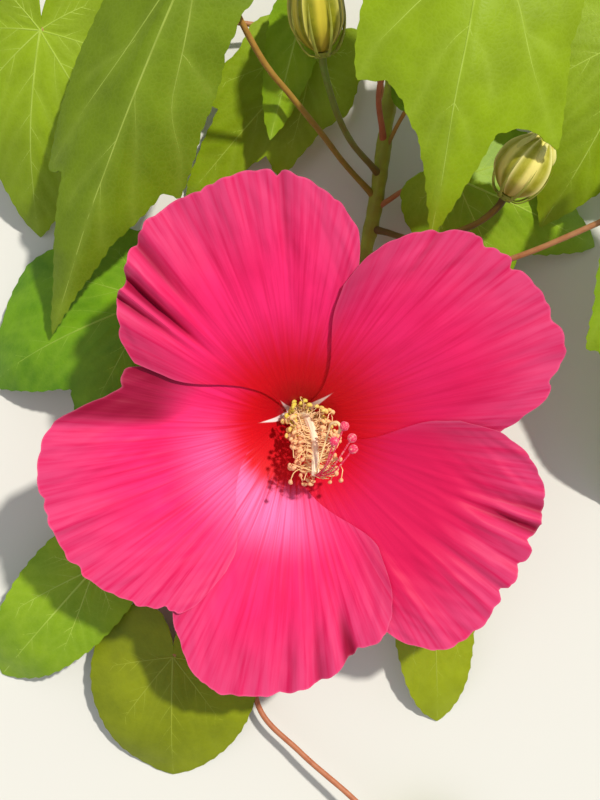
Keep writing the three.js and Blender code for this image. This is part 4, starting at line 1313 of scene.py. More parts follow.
# %% Leaf meshes
LEAF_THICK = 0.5
EDGE_POINTS = (3.2, 110, 300)
RINGS = (0.36, 16, 40)
RINGS_CROWD = 0.9
QUILT_RISE = 0.5
QUILT_WIDTH = 3.2
QUILT_SUNK = 0.35
QUILT_LOST = 0.7
EDGE_WAVE = 2.4
WAVE_LENGTH = 24
CALM_TIP = (0.9, 1.02)
LOWEST = -0.35
NEAR_VEIN = 1.4
VEIN_SUNK = 0.13
VEIN_THIN_AT = 1.15
VEIN_SIDES = 6
VEIN_STEPS = 1.4


def count_for(length, per_mm, least, most):
    """How many steps a length gets, within limits."""
    return int(min(most, max(least, per_mm * length)))


def blade_mesh(leaf, axes, veins, seed):
    """The upper face of a leaf, swollen between its veins."""
    up, length = axes[2:]
    count = count_for(length, *EDGE_POINTS)
    edge = leaf_edge(leaf, length, count)
    bm = bmesh.new()
    near = bm.verts.layers.float.new("near")
    bmesh.ops.create_grid(bm, x_segments=count, y_segments=count_for(length, *RINGS), size=1)
    shares = [((vert.co.y + 1) / 2) ** RINGS_CROWD for vert in bm.verts]
    flat = np.array([
        edge[round((vert.co.x + 1) / 2 * count)] * share for vert, share in zip(bm.verts, shares)
    ])
    gap = np.min([nearest_on(flat, [line]) for line, _ in veins], axis=0) * length
    for vert, share, away, (run, across) in zip(bm.verts, shares, gap, flat):
        wave = swell(run * length / WAVE_LENGTH, across * length / WAVE_LENGTH, seed * 3.7)
        margin = share ** 2 * fading(run, *CALM_TIP)
        quilt = QUILT_RISE * (1 - bump(away, 0, QUILT_WIDTH)) * (1 - QUILT_LOST * share ** 4)
        place = leaf_place(leaf, axes, run, across)
        place += up * (quilt - QUILT_SUNK * QUILT_RISE + EDGE_WAVE * wave * margin)
        place.z = max(place.z, LOWEST + LEAF_THICK)
        vert.co = place
        vert[near] = math.exp(-away / NEAR_VEIN)
    bmesh.ops.remove_doubles(bm, verts=bm.verts, dist=WELD)
    face_up(bm, up)
    return bm


def vein_mesh(leaf, axes, veins, face):
    """The veins as limbs that lie a little sunk in the leaf's face."""
    bm = bmesh.new()
    for line, (thick, thin) in veins:
        laid = []
        for run, across in line:
            place, normal = face.find_nearest(leaf_place(leaf, axes, run, across))[:2]
            laid.append(place - normal * VEIN_SUNK)
        limb(bm, route(laid), lambda t: thick + (thin - thick) * min(1, VEIN_THIN_AT * t),
             VEIN_SIDES, max(4, int(VEIN_STEPS * len(line))))
    return bm


for seed, (name, leaf) in enumerate(LEAVES.items()):
    axes = leaf_axes(leaf)
    veins = leaf_veins(name, leaf)
    blade = blade_mesh(leaf, axes, veins, seed)
    face = BVHTree.FromBMesh(blade)
    thicken(blade, lambda vert: LEAF_THICK)
    ribs = vein_mesh(leaf, axes, veins, face)
    finished(f"blade_{name}", blade, blade_skins[leaf["tone"]], "leaf", f"leaf_{name}")
    finished(f"veins_{name}", ribs, vein_skins[leaf["tone"]], "leaf", f"leaf_{name}")

# %% [markdown]
# The stem is this year's growth: green, smooth and faintly ribbed, with a swelling and a red
# flush at each place where a stalk leaves it. Older bark would flake, and this doesn't, so its
# relief is fine ribs and a few small bumps. The two buds leave it as the leaves do: from is how
# far along the stem, and via the points that the stalk passes.

# %% Buds and where the stalks leave the stem
BUDS = {
    "bud_top": {
        "base": (6.6, 105.2, 42), "tip": (3.5, 127.5, 53), "radius": 7.9, "from": 0.77, "stalk": 1.0,
        "via": [(16, 81.5, 27), (11.3, 88.8, 34)], "tone": "green_bud_stalk",
    },
    "bud_right": {
        "base": (63.1, 63.0, 38), "tip": (72.8, 78.2, 47), "radius": 7.9, "from": 0.69, "stalk": 1.0,
        "via": [(38, 52, 17), (54, 54.5, 30)], "tone": "dark_bud_stalk",
    },
}
FLOWER_STALK_FROM = 0.5
FLOWER_STALK_RADIUS = 1.35
STEM_RADIUS_CUT = 2.15
STEM_RADIUS_TIP = 2.0
NODE_SWELL = 0.55
NODE_HALF = 0.018
FIRST_NODE_AFTER = 0.05
stem_nodes = [piece["from"] for piece in (*LEAVES.values(), *BUDS.values())]


def node_nearness(share):
    """1 where a stalk leaves the stem, and 0 away from it."""
    if share <= FIRST_NODE_AFTER:
        return 0.0
    return max(bump(share, place, NODE_HALF) for place in stem_nodes)


def stem_radius(share):
    """The stem's radius in mm: it thins to its tip and swells at each node."""
    plain = STEM_RADIUS_CUT + (STEM_RADIUS_TIP - STEM_RADIUS_CUT) * share
    return plain + NODE_SWELL * node_nearness(share)


print("stalks that leave the stem:", len(stem_nodes) + 1)


# %% [markdown]
# The bark of the stem and the skins of the stalks are one finish in several colours: it runs
# from one colour at the foot to another at the tip, is clouded in patches of 2.4 mm, flushes
# where a stalk leaves the stem, and has a fine grain of 0.8 mm.

# %% Finishes of the stem and the stalks
BARK_PATCH = 2.4
BARK_GRAIN = 0.8
BARK_GRAIN_DEPTH = 0.12
BARKS = {
    "young_stem_bark": ("#98A22C", "#9CAA30", "#7E7622"),
    "red_leaf_stalk": ("#84741C", "#B8843E", "#84601E"),
    "orange_leaf_stalk": ("#A8703C", "#B8845A", "#A05A30"),
    "pink_leaf_stalk": ("#A8623C", "#C07A55", "#A0502C"),
    "green_bud_stalk": ("#6B601E", "#6C8226", "#6E4A1A"),
    "dark_bud_stalk": ("#6E5418", "#5E4A10", "#5A3612"),
    "green_flower_stalk": ("#6A7E26", "#7F9C34", "#6E6A20"),
}
RED_STALKS = ("upper_left", "left", "young", "shoot")
PINK_STALKS = ("upper_right", "foot")


def green_bark(name, foot, tip, flush, roughness=0.5):
    """Young bark that runs from one colour to another, with small clouds and a red flush."""
    made, tree, shader = surface(name, roughness)
    place = node(tree, "ShaderNodeTexCoord").outputs["Object"]
    run = node(tree, "ShaderNodeAttribute", attribute_name="run")
    blush = node(tree, "ShaderNodeAttribute", attribute_name="flush")
    patches = node(tree, "ShaderNodeTexNoise", {
        "Vector": place, "Scale": 1 / (BARK_PATCH * MM), "Detail": 4.0,
    })
    patch = node(tree, "ShaderNodeMapRange", {
        "Value": patches.outputs["Fac"], "From Min": 0.42, "From Max": 0.75,
    })
    colour = glazed(
        tree, linear(foot),
        (tip, run.outputs["Fac"], 1.0),
        (flush, patch.outputs["Result"], 0.6),
        (flush, blush.outputs["Fac"], 0.5),
    )
    dots = node(tree, "ShaderNodeTexNoise", {
        "Vector": place, "Scale": 1 / (BARK_GRAIN * MM), "Detail": 2.0,
    })
    coat(tree, shader, colour, dots.outputs["Fac"], 0.3, BARK_GRAIN_DEPTH)
    return made


bark_skins = {name: green_bark(name, *tints) for name, tints in BARKS.items()}
print("bark finishes:", len(bark_skins))


# %% The stem
STEM_SIDES = 28
STEM_STEPS = 300
STEM_RIBS = 7
STEM_RIB = 0.07
STEM_TWIST = 1.5
BUMP_ROUND = 9
BUMP_ALONG = 120
BUMP_HEIGHT = 0.09
BUMP_PEAK = 0.16
BUMP_PEAK_FROM = 0.35


def stem_relief(run, turn):
    """Height in mm of the stem's ribs, which wind slowly round it, and of its small bumps."""
    around = 2 * math.pi * turn
    ribs = STEM_RIB * math.cos(2 * math.pi * (STEM_RIBS * turn + STEM_TWIST * run))
    bumps = swell(BUMP_ROUND * math.cos(around), BUMP_ROUND * math.sin(around), BUMP_ALONG * run)
    return ribs + BUMP_HEIGHT * bumps + BUMP_PEAK * max(0.0, bumps - BUMP_PEAK_FROM)


bm = bmesh.new()
limb(bm, stem_way, stem_radius, STEM_SIDES, STEM_STEPS, stem_relief, flush=node_nearness)
finished("stem_bark", bm, bark_skins["young_stem_bark"], "green_bark", "stem")

# %% [markdown]
# A stalk leaves the stem at a node and thickens again where it carries its leaf, its bud or the
# bloom. Here it starts inside the stem's skin and ends in what it carries, so no gap shows. A
# swell is its height as a share of the radius and the mm over which it dies out.

# %% Stalks
STALK_INSIDE = 0.4
STALK_STRAIGHT = 1.8
FOOT_SWELL = (0.55, 3.5)
END_SWELL = (0.3, 5)
FLUSH_LENGTH = 6
STALK_BUMP = 0.05
STALK_BUMPS_ROUND = 2
STALK_BUMP_LENGTH = 3
STALK_STEP = 1.4
STALK_STEPS_LEAST = 12
STALK_SIDES = 14
BELOW_LEAF = 0.3


def stalk_mesh(share, points, radius, sides=STALK_SIDES):
    """A stalk from a share of the stem's length through the points."""
    node_place = at(stem_way, share)
    way_out = (Vector(points[0]) - node_place).normalized()
    start = node_place + way_out * STALK_INSIDE * stem_radius(share)
    way = route([start, start + way_out * STALK_STRAIGHT * stem_radius(share), *points])
    length = float(np.linalg.norm(np.diff(way, axis=0), axis=1).sum())
    seed = share * 100

    def radius_at(s):
        foot = FOOT_SWELL[0] * math.exp(-s * length / FOOT_SWELL[1])
        end = END_SWELL[0] * math.exp((s - 1) * length / END_SWELL[1])
        return radius * (1 + foot + end)

    def relief(run, turn):
        place = Vector((math.cos(2 * math.pi * turn), math.sin(2 * math.pi * turn))) * STALK_BUMPS_ROUND
        return STALK_BUMP * swell(*place, seed + run * length / STALK_BUMP_LENGTH)

    bm = bmesh.new()
    limb(bm, way, radius_at, sides, int(max(STALK_STEPS_LEAST, length / STALK_STEP)), relief,
         flush=lambda s: math.exp(-s * length / FLUSH_LENGTH))
    return bm


for name, leaf in LEAVES.items():
    up = leaf_axes(leaf)[2]
    end = Vector(leaf["base"]) - up * (0.6 * leaf["radius"] + BELOW_LEAF)
    tone = "red_leaf_stalk" if name in RED_STALKS else "orange_leaf_stalk"
    tone = "pink_leaf_stalk" if name in PINK_STALKS else tone
    made = stalk_mesh(leaf["from"], [*leaf["via"], end], leaf["radius"])
    finished(f"skin_of_stalk_{name}", made, bark_skins[tone], "leaf_stalk", f"stalk_{name}")

# %% [markdown]
# Under the petals stands the calyx, a cup of five pointed sepals, and under that a ring of
# eight narrow bracts. The bloom hides them from above, so they are seen from the side only. The
# cup is a grid wrapped round the bloom's axis, with its edge drawn out to the five points, and
# its inside is paler in the middle. Ribs run out along the sepals, and its skin is downy.

# %% Skin of the calyx
CALYX_GREEN = "#9AA536"
CALYX_OLIVE = "#7F8F28"
CALYX_RIB = "#D6CE74"
CALYX_INSIDE = "#FFF6EE"
CALYX_PATCH = 5
DOWN_SIZE = 0.5
DOWN_DEPTH = 0.1

calyx_skin, tree, shader = surface("downy_calyx", 0.62, Sheen_Weight=0.15)
place = node(tree, "ShaderNodeTexCoord").outputs["Object"]
inside = node(tree, "ShaderNodeAttribute", attribute_name="inside")
ridge = node(tree, "ShaderNodeAttribute", attribute_name="ridge")
patches = node(tree, "ShaderNodeTexNoise", {
    "Vector": place, "Scale": 1 / (CALYX_PATCH * MM), "Detail": 4.0,
})
patch = node(tree, "ShaderNodeMapRange", {
    "Value": patches.outputs["Fac"], "From Min": 0.35, "From Max": 0.7,
})
colour = glazed(
    tree, linear(CALYX_GREEN),
    (CALYX_OLIVE, patch.outputs["Result"], 1.0),
    (CALYX_RIB, ridge.outputs["Fac"], 0.7),
    (CALYX_INSIDE, inside.outputs["Fac"], 1.0),
)
down = node(tree, "ShaderNodeTexNoise", {"Vector": place, "Scale": 1 / (DOWN_SIZE * MM)})
coat(tree, shader, colour, down.outputs["Fac"], 0.25, DOWN_DEPTH)
print("made the finish", calyx_skin.name)

# %% Calyx
SEPALS = 5
SEPAL_TIP = 23
SEPAL_NOTCH = 11
SEPAL_POINTED = 0.9
SEPALS_TURNED = 20
SEPAL_VEINS = 5
SEPAL_RIB = 0.12
RIBS_GROW = (3, 9)
PALE_INSIDE = (10, 14)
CALYX_THICK = 0.8
CALYX_DROP_MIDDLE = 2.4
CALYX_DROP_SIDES = 1.7
CALYX_DROP_PER_MM = 0.03
CALYX_MIDDLE = 5
CALYX_AROUND = 150
CALYX_OUT = 30


def calyx_height(distance):
    """How high the calyx stands at a distance from the bloom's axis, some mm under the petals."""
    sides = smoothstep(distance, 0, CALYX_MIDDLE)
    drop = CALYX_DROP_MIDDLE + CALYX_DROP_SIDES * sides + CALYX_DROP_PER_MM * distance
    return eased(BLOOM_PROFILE, distance) - drop


bm = bmesh.new()
inside_layer = bm.verts.layers.float.new("inside")
ridge_layer = bm.verts.layers.float.new("ridge")
bmesh.ops.create_grid(bm, x_segments=CALYX_AROUND, y_segments=CALYX_OUT, size=1)
for vert in bm.verts:
    part = (vert.co.x + 1) / 2 * SEPALS
    to_tip = 1 - abs(2 * (part % 1) - 1)
    reach = SEPAL_NOTCH + (SEPAL_TIP - SEPAL_NOTCH) * to_tip ** SEPAL_POINTED
    distance = reach * (vert.co.y + 1) / 2
    rib = math.cos(2 * math.pi * SEPAL_VEINS * part) * smoothstep(distance, *RIBS_GROW)
    angle = 360 * part / SEPALS + SEPALS_TURNED
    vert.co = bloom_place(distance, angle, calyx_height(distance) + SEPAL_RIB * rib)
    vert[ridge_layer] = max(0.0, rib)
    vert[inside_layer] = fading(distance, *PALE_INSIDE)
bmesh.ops.remove_doubles(bm, verts=bm.verts, dist=WELD)
face_up(bm, BLOOM_AXIS)
for vert in thicken(bm, lambda vert: CALYX_THICK):
    vert[inside_layer] = 0
finished("calyx_cup", bm, calyx_skin, "calyx", "flower_calyx")

# %% [markdown]
# A bract is a narrow blade, so it is a limb squeezed flat. The ring of them curves up round the
# bloom's calyx, and a closer ring hugs each bud. They spring from a small round hub, so that
# the ring is one piece.

# %% Bracts
BRACTS = 8
BRACT_STEPS = 18
BRACT_SIDES = 10
BRACT_FLAT = 0.42
BRACT_SWAY = 6
BRACT_SWAY_STEP = 5.3
BRACT_FOOT = 0.8
BRACT_BELLY = 0.5
BRACT_TIP_LOSS = 0.9
BRACT_TIP_POWER = 2.2
HUB_RADIUS = 2.5
HUB_TAPER = 0.5
HUB_BELOW = 0.5
HUB_ABOVE = 0.9
HUB_SIDES = 24
HUB_STEPS = 3


def bract_ring(bm, place_at, path, width, sway_start):
    """Eight flattened limbs. path is pairs of distance and height, and place_at puts them."""
    def half_width(t):
        belly = BRACT_FOOT + BRACT_BELLY * math.sin(math.pi * t)
        return width * (1 - BRACT_TIP_LOSS * t ** BRACT_TIP_POWER) * belly

    for k in range(BRACTS):
        angle = 360 * (k + 0.5) / BRACTS
        sway = BRACT_SWAY * math.sin(BRACT_SWAY_STEP * k + sway_start)
        way = route([
            place_at(out, angle + sway * i / len(path), height) for i, (out, height) in enumerate(path)
        ])
        across = place_at(5, angle + 90, 0) - place_at(0, 0, 0)
        limb(bm, way, half_width, BRACT_SIDES, BRACT_STEPS, side=across, flat=BRACT_FLAT)
    foot = path[0][1]
    hub = route([place_at(0, 0, foot - HUB_BELOW), place_at(0, 0, foot + HUB_ABOVE)])
    limb(bm, hub, lambda t: HUB_RADIUS - HUB_TAPER * t, HUB_SIDES, HUB_STEPS)


# %% Bracts and stalk of the bloom
BRACTS_UNDER_CALYX = 2.7
BLOOM_BRACT_RISE = [(1.4, 0), (4.5, 0.4), (8.5, 2.6), (12.0, 5.6), (14.0, 8.2)]
BLOOM_BRACT_WIDTH = 0.85
BLOOM_STALK_VIA = [(8.5, 12, 6.6), (2.4, 4.5, 8.2)]
BLOOM_STALK_SIDES = 18
STALK_TURNS_UNDER = 4.5
STALK_IN_CALYX = 0.5

bract_skin = green_bark("narrow_bract", "#8E9632", "#A8A844", "#847E26", 0.55)
bracts_at = calyx_height(0) - BRACTS_UNDER_CALYX
bm = bmesh.new()
bract_ring(bm, bloom_place, [(out, bracts_at + rise) for out, rise in BLOOM_BRACT_RISE],
           BLOOM_BRACT_WIDTH, 0.4)
finished("bract_ring", bm, bract_skin, "calyx", "flower_bracts")

made = stalk_mesh(FLOWER_STALK_FROM, [
    *BLOOM_STALK_VIA, bloom_place(0, 0, bracts_at - STALK_TURNS_UNDER),
    bloom_place(0, 0, calyx_height(0) - STALK_IN_CALYX),
], FLOWER_STALK_RADIUS, BLOOM_STALK_SIDES)
finished("skin_of_flower_stalk", made, bark_skins["green_flower_stalk"], "green_bark", "flower_stalk")

# %% [markdown]
# A bud is its calyx, still shut: five sepals that meet in raised keels, each pale down its
# middle and olive at its sides, with their points standing free round the tip. One bud lies in
# the sun, so its skin is a lighter copy of the other's, with that sunlight painted in. The skin
# is clouded green, with a pale band along each sepal, a brown foot and paler keels, each by an
# amount that the mesh carries.

# %% Skin of the buds
BUD_FOOT = "#8A6A1C"
BUD_PATCH = 2.5
BUD_DOWN_SIZE = 0.6
BUD_DOWN_DEPTH = 0.12


def bud_finish(name, sunny, deep, pale, keel_tint):
    """The skin of a shut calyx in one set of colours."""
    made, tree, shader = surface(name, 0.55, Specular_IOR_Level=0.3)
    place = node(tree, "ShaderNodeTexCoord").outputs["Object"]
    zone = {
        amount: node(tree, "ShaderNodeAttribute", attribute_name=amount).outputs["Fac"]
        for amount in ("band", "foot", "keel")
    }
    patches = node(tree, "ShaderNodeTexNoise", {
        "Vector": place, "Scale": 1 / (BUD_PATCH * MM), "Detail": 4.0,
    })
    patch = node(tree, "ShaderNodeMapRange", {
        "Value": patches.outputs["Fac"], "From Min": 0.35, "From Max": 0.7,
    })
    colour = glazed(
        tree, linear(sunny),
        (deep, patch.outputs["Result"], 1.0),
        (pale, zone["band"], 0.9),
        (BUD_FOOT, zone["foot"], 0.35),
        (keel_tint, zone["keel"], 0.85),
    )
    down = node(tree, "ShaderNodeTexNoise", {"Vector": place, "Scale": 1 / (BUD_DOWN_SIZE * MM)})
    coat(tree, shader, colour, down.outputs["Fac"], 0.3, BUD_DOWN_DEPTH)
    return made


bud_skins = {
    "bud_top": bud_finish("striped_bud_calyx", "#8E8C14", "#72740C", "#D0BE3A", "#D6CC62"),
    # the bud in the sun gets lighter colours, with its sunlight painted in
    "bud_right": bud_finish("painted_sunlit_bud_calyx", "#B0AA38", "#96921E", "#F6E684", "#F0E696"),
}
print("bud finishes:", [skin.name for skin in bud_skins.values()])


# %% [markdown]
# The body of a bud is one limb whose relief makes the sepals and their keels, and each free
# point is a small limb of its own. A place on that point is its distance as a share of the
# bud's radius, a turn in degrees, its height as a share of the bud's length, and mm above that.
# A place on a bract is a share of the radius and mm more, then a share of the length and mm more.

# %% Buds
BUD_PROFILE = [(0, 0.26), (0.08, 0.56), (0.28, 0.93), (0.48, 1), (0.68, 0.9), (0.86, 0.6), (1, 0.2)]
BUD_SIDES = 80
BUD_STEPS = 44
BUD_RIDGE_DEPTH = 0.07
BUD_RIB = 0.1
BUD_RIBS = 5
KEEL_RISE = 0.55
KEEL_HALF = 0.045
KEEL_GROWS = (0.02, 0.2)
RIB_GROWS = (0.1, 0.3)
BAND_STARTS = (0.24, 0.42)
KEEL_TINT_HALF = 0.05
FOOT_FADES = (0.05, 0.3)
POINT_TINT = 0.25
POINT_SIDES = 10
POINT_STEPS = 18
BUD_POINT = [(0.66, 0, 0.6, 0), (0.7, 0, 0.78, 0), (0.5, 4, 0.93, 0), (0.44, 8, 0.95, 1.9)]
BUD_BRACT = [
    (0, 1.2, 0, -1.3), (0.55, 0, 0, -0.7), (0.88, 0.5, 0.16, 0), (1.03, 0.6, 0.38, 0), (1, 0.8, 0.6, 0),
]
BUD_BRACT_WIDTH = 0.45
BUD_STALK_ENDS = (-5.2, -0.9)


def to_keel(turn):
    """How far round a place is from the nearest keel, as a share of a sepal's width."""
    return abs((turn * SEPALS + 0.5) % 1 - 0.5)


def point_radius(t):
    """The radius of a free point in mm: it swells from its foot and runs out to its tip."""
    return (0.4 + 1.1 * smoothstep(t, 0, 0.3)) * (1 - t) ** 0.7 + 0.1


def bud_place_at(bud):
    """The function that puts a place by its distance, angle and height in a bud's own frame."""
    base = Vector(bud["base"])
    axis = (Vector(bud["tip"]) - base).normalized()
    side = Vector((0, 0, 1)).cross(axis).normalized()
    other = axis.cross(side)

    def place_at(out, angle, height):
        turn = math.radians(angle)
        return base + (side * math.cos(turn) + other * math.sin(turn)) * out + axis * height

    return place_at


def bud_body(bud, place_at, length):
    """The shut calyx of a bud, with the amounts that colour it."""
    def radius_at(run):
        return bud["radius"] * eased(BUD_PROFILE, run)

    def relief(run, turn):
        ridge = BUD_RIDGE_DEPTH * radius_at(run) * math.cos(2 * math.pi * SEPALS * turn)
        crest = KEEL_RISE * bump(to_keel(turn), 0, KEEL_HALF) * smoothstep(run, *KEEL_GROWS)
        rib = BUD_RIB * math.cos(2 * math.pi * SEPALS * BUD_RIBS * turn) * smoothstep(run, *RIB_GROWS)
        return ridge + crest + rib

    base, tip = Vector(bud["base"]), Vector(bud["tip"])
    bm = bmesh.new()
    limb(bm, route([base, base.lerp(tip, 0.5), tip]), radius_at, BUD_SIDES, BUD_STEPS, relief)
    body = len(bm.verts)
    for k in range(SEPALS):
        angle = 360 * (k + 0.5) / SEPALS
        way = route([
            place_at(bud["radius"] * out, angle + turned, length * height + above)
            for out, turned, height, above in BUD_POINT
        ])
        limb(bm, way, point_radius, POINT_SIDES, POINT_STEPS)
    run, turn = bm.verts.layers.float["run"], bm.verts.layers.float["turn"]
    layer = {name: bm.verts.layers.float.new(name) for name in ("band", "keel", "foot")}
    for i, vert in enumerate(bm.verts):
        on_body = i < body
        from_keel = to_keel(vert[turn]) if on_body else POINT_TINT
        vert[layer["band"]] = smoothstep(from_keel, *BAND_STARTS)
        vert[layer["keel"]] = bump(from_keel, 0, KEEL_TINT_HALF) if on_body else 0.5 + 0.5 * vert[run]
        vert[layer["foot"]] = fading(vert[run], *FOOT_FADES) if on_body else 0.0
    return bm


for name, bud in BUDS.items():
    place_at = bud_place_at(bud)
    radius = bud["radius"]
    length = (Vector(bud["tip"]) - Vector(bud["base"])).length
    finished(f"calyx_of_{name}", bud_body(bud, place_at, length), bud_skins[name], "calyx", name)
    ring = bmesh.new()
    path = [(radius * out + more, length * up + above) for out, more, up, above in BUD_BRACT]
    bract_ring(ring, place_at, path, BUD_BRACT_WIDTH, radius)
    finished(f"bracts_of_{name}", ring, bract_skin, "calyx", f"{name}_bracts")
    ends = [place_at(0, 0, height) for height in BUD_STALK_ENDS]
    made = stalk_mesh(bud["from"], [*bud["via"], *ends], bud["stalk"])
    finished(f"skin_of_{name}_stalk", made, bark_skins[bud["tone"]], "leaf_stalk", f"{name}_stalk")

# %% [markdown]
# The stamens of a hibiscus are joined in a tube round its styles. Thin filaments leave that
# column in a spiral, each at the golden angle from the last, and each carries a kidney-shaped
# anther of golden pollen. From a third of its length on, the column's upper side is bare on
# this bloom, so the filaments that would stand there are left out. Column and anthers share a
# kind of finish whose colour follows an amount called height, with pale specks. That runs from
# 0 to 0.8 along the column and is about 0.9 and more on the filaments, and on an anther it is
# the share of the column at which its filament leaves.

# %% Finishes of the column and the anthers
SPECK_PALE = "#FFF0D0"
SPECK_DEPTH = 0.1


def run_finish(name, stops, roughness, grain_mm):
    """A finish whose colour follows the amount called height, with pale specks on it."""
    made, tree, shader = surface(name, roughness)
    height = node(tree, "ShaderNodeAttribute", attribute_name="height")
    ramp = node(tree, "ShaderNodeValToRGB", {
        0: height.outputs["Fac"],
    }, stops=[(share, linear(tint)) for share, tint in stops])
    specks = node(tree, "ShaderNodeTexNoise", {
        "Vector": node(tree, "ShaderNodeTexCoord").outputs["Object"],
        "Scale": 1 / (grain_mm * MM), "Detail": 3.0,
    })
    speck = node(tree, "ShaderNodeMapRange", {
        "Value": specks.outputs["Fac"], "From Min": 0.5, "From Max": 0.75,
    })
    colour = glazed(tree, ramp.outputs["Color"], (SPECK_PALE, speck.outputs["Result"], 0.5))
    coat(tree, shader, colour, specks.outputs["Fac"], 0.5, SPECK_DEPTH)
    return made


column_skin = run_finish("fleshy_column", [
    (0.0, "#F6DCA8"), (0.4, "#FFEFD0"), (0.8, "#FFEFD0"), (0.88, "#F2D09A"), (1.0, "#EEC488"),
], 0.45, 2.0)
anther_skin = run_finish("pollen_anther", [
    (0.3, "#DACC44"), (0.46, "#E8CA64"), (0.58, "#F2C084"), (1.0, "#F0AE7C"),
], 0.8, 0.4)
print("made the finishes", column_skin.name, "and", anther_skin.name)

# %% The column
COLUMN_ROUTE = [(0, 0, -1.1), (0.2, 0.1, 3.6), (3.3, 1.9, 12), (5.2, -2.2, 21), (5.0, -10.6, 30.3)]
COLUMN_RADIUS_FOOT = 1.75
COLUMN_RADIUS_TIP = 1.15
COLUMN_TAPER = 1.4
COLUMN_SIDES = 20
COLUMN_STEPS = 70
COLUMN_RIBS = 10
COLUMN_RIB = 0.08
COLUMN_HEIGHT = 0.8

column_way = route([BLOOM_SEAT + Vector((x, y, 0)) + BLOOM_AXIS * z for x, y, z in COLUMN_ROUTE])


def column_radius(share):
    """The column's radius in mm, which is down to that of its tip before the end."""
    return COLUMN_RADIUS_FOOT + (COLUMN_RADIUS_TIP - COLUMN_RADIUS_FOOT) * min(1, share * COLUMN_TAPER)


column_mesh = bmesh.new()
limb(column_mesh, column_way, column_radius, COLUMN_SIDES, COLUMN_STEPS,
     lambda run, turn: COLUMN_RIB * math.cos(2 * math.pi * (COLUMN_RIBS * turn + run)),
     height=lambda t: COLUMN_HEIGHT * t)
print("faces of the bare column:", len(column_mesh.faces))

# %% [markdown]
# A stamen is a thin curved limb with a bean at its end. The bean is a small sphere, stretched
# and then bent, with few faces, because there are some 200 of them. Longer and shorter, curled
# one way or the other, they are drawn at random from one seed, so they come out the same each
# time.

# %% Stamens
SEED = 11
STAMENS = 250
STAMENS_START = 0.2
STAMENS_END = 0.985
BARE_BACK = 0.74
BARE_FROM = 0.34
GOLDEN_ANGLE = 137.5
FRAME_STEPS = 200
ROOT_DEPTH = 0.8
TURN_STRAY = 30
FILAMENT_RADIUS = 0.16
FILAMENT_LENGTH = 6.7
FILAMENT_LENGTHS = (0.5, 1.12)
FILAMENT_LEANS = (-0.5, 0.6)
CURLS_ROUND = (-0.6, 0.6)
CURLS_AHEAD = (-0.55, 0.65)
FILAMENT_SIDES = 5
FILAMENT_STEPS = 8
SHORTEST = 0.36
LENGTH_GROWS = (0.1, 0.5)
ANTHER_TURNS = (-0.9, 0.9)
ANTHER_SIZES = (0.85, 1.15)
ANTHER_SIZE = 1.02
ANTHER_WIDTH = 0.62
ANTHER_DEPTH = 0.66
ANTHER_BEND = 0.3

random.seed(SEED)
anther_mesh = bmesh.new()
height_layer = anther_mesh.verts.layers.float.new("height")
column_frames = rings(column_way, FRAME_STEPS)


def add_anther(end, out, ahead, share):
    """Adds a bean of pollen that lies across the end of its filament."""
    across = out.cross(ahead)
    turned = across.to_track_quat("X", "Z").to_matrix().to_4x4()
    turned = turned @ Matrix.Rotation(random.uniform(*ANTHER_TURNS), 4, "Y")
    size = ANTHER_SIZE * random.uniform(*ANTHER_SIZES)
    sized = Matrix.Diagonal((size, size * ANTHER_WIDTH, size * ANTHER_DEPTH, 1))
    bean = bmesh.ops.create_icosphere(
        anther_mesh, subdivisions=2, radius=1, matrix=Matrix.Translation(end) @ turned @ sized,
    )["verts"]
    for vert in bean:
        sideways = (vert.co - end).dot(across.normalized()) / size
        vert.co -= out * ANTHER_BEND * size * sideways * sideways
        vert[height_layer] = share


for i in range(STAMENS):
    share = STAMENS_START + (STAMENS_END - STAMENS_START) * (i + 0.5) / STAMENS
    turn = math.radians(GOLDEN_ANGLE * i + random.uniform(-TURN_STRAY, TURN_STRAY))
    around = column_frames[round(share * FRAME_STEPS)].to_3x3()
    out = around @ Vector((math.cos(turn), math.sin(turn), 0))
    ahead = around @ Vector((0, 0, 1))
    grown = SHORTEST + (1 - SHORTEST) * smoothstep(share, *LENGTH_GROWS)
    length = FILAMENT_LENGTH * random.uniform(*FILAMENT_LENGTHS) * grown
    lean = random.uniform(*FILAMENT_LEANS)
    curl = ahead.cross(out) * random.uniform(*CURLS_ROUND) + ahead * random.uniform(*CURLS_AHEAD)
    bare_side = Vector((0, 0, 1)) - ahead * ahead.z
    if share > BARE_FROM and out.dot(bare_side.normalized()) > BARE_BACK:
        continue
    root = at(column_way, share) + out * column_radius(share) * ROOT_DEPTH
    way = route([
        root, root + out * length * 0.4, root + (out * 0.78 + curl) * length,
        root + (out * 0.95 + ahead * lean + curl * 0.5) * length,
    ])
    limb(column_mesh, way, lambda t: FILAMENT_RADIUS * (1.25 - 0.45 * t),
         FILAMENT_SIDES, FILAMENT_STEPS, height=lambda t: 0.86 + 0.14 * share)
    add_anther(at(way, 1), out, ahead, share)
finished("column_of_stamens", column_mesh, column_skin, "stamen", "stamen_column")
finished("anthers", anther_mesh, anther_skin, "stamen", "stamen_column")

# %% [markdown]
# Five styles come out of the column's end. Four end in a round stigma covered in tiny bumps,
# which is a sphere pressed flat with random swells on it. The fifth is pale, has no ball, and
# curls back over the column's tip. Here height runs from 0.25 to 0.55 along a style and from
# 0.66 to 1 over a stigma, and is 0 on the pale style.

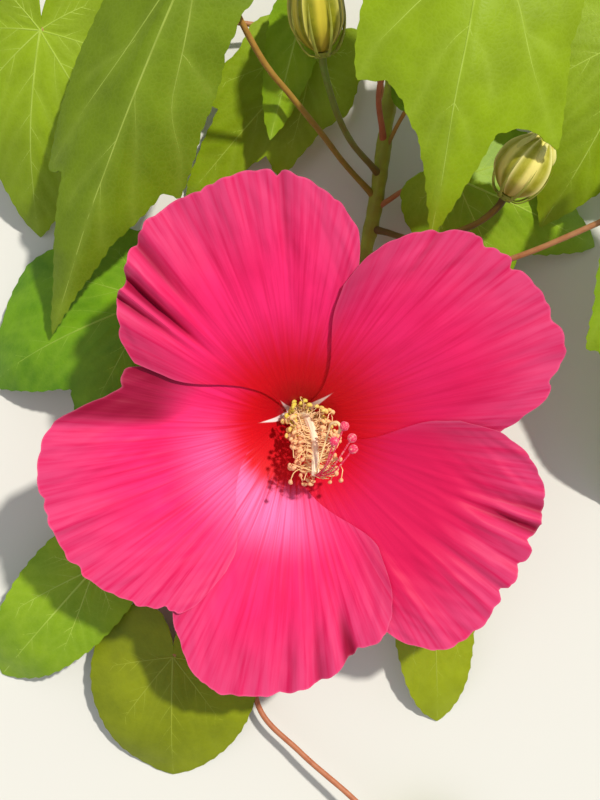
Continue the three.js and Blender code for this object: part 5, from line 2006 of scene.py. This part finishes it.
# %% Styles and stigmas
STYLE_RADIUS = 0.27
STYLE_SIDES = 8
STYLE_STEPS = 18
STYLE_ROOT = 1.2
STYLE_OUT = 0.4
STYLE_BENDS_AT = 0.45
STYLE_RISE = 3.2
STIGMA_RADIUS = 1.35
STIGMA_FLAT = 0.62
STIGMAS = [(12.6, -7.4, 62), (14.8, -10.8, 61), (15.2, -14, 60), (9.6, -11.6, 64)]
PAPILLA = 0.12
PAPILLA_SIZE = 5
CURLED_STYLE = [
    (8.4, -8.6, 55), (8.9, -6.9, 57), (10.6, -6.4, 58.2), (11.6, -7.9, 58.2), (11.2, -9.6, 57.4),
]
CURLED_RADIUS = 0.3
CURLED_CLUB = 0.22
CURLED_SIDES = 10
CURLED_STEPS = 40

stigma_skin = run_finish("papillose_stigma", [
    (0.0, "#F2D294"), (0.1, "#F2D294"), (0.25, "#D81C44"), (0.72, "#E02E5C"), (1.0, "#F27C98"),
], 0.55, 0.5)
bm = bmesh.new()
column_end = heading(column_way, 1)
hub = at(column_way, 1) + column_end * STYLE_OUT
for end in map(Vector, STIGMAS):
    bend = hub.lerp(end, STYLE_BENDS_AT) + column_end * STYLE_RISE
    limb(bm, route([hub - column_end * STYLE_ROOT, hub, bend, end]), lambda t: STYLE_RADIUS,
         STYLE_SIDES, STYLE_STEPS, height=lambda t: 0.25 + 0.3 * t)
    ball = bmesh.ops.create_icosphere(bm, subdivisions=3, radius=1, matrix=Matrix.Translation(end))["verts"]
    for vert in ball:
        out = vert.co - end
        vert[bm.verts.layers.float["height"]] = 0.66 + 0.34 * smoothstep(1 - abs(out.z), 0.35, 0.8)
        out.z *= STIGMA_FLAT
        vert.co = end + out * (STIGMA_RADIUS + PAPILLA * swell(*(out * PAPILLA_SIZE + end)))
limb(bm, route([hub, *CURLED_STYLE]), lambda t: CURLED_RADIUS + CURLED_CLUB * smoothstep(t, 0.55, 1),
     CURLED_SIDES, CURLED_STEPS, height=lambda t: 0)
finished("styles_and_stigmas", bm, stigma_skin, "stigma", "styles")

# %% The close
print("triangles in all:", sum(totals))
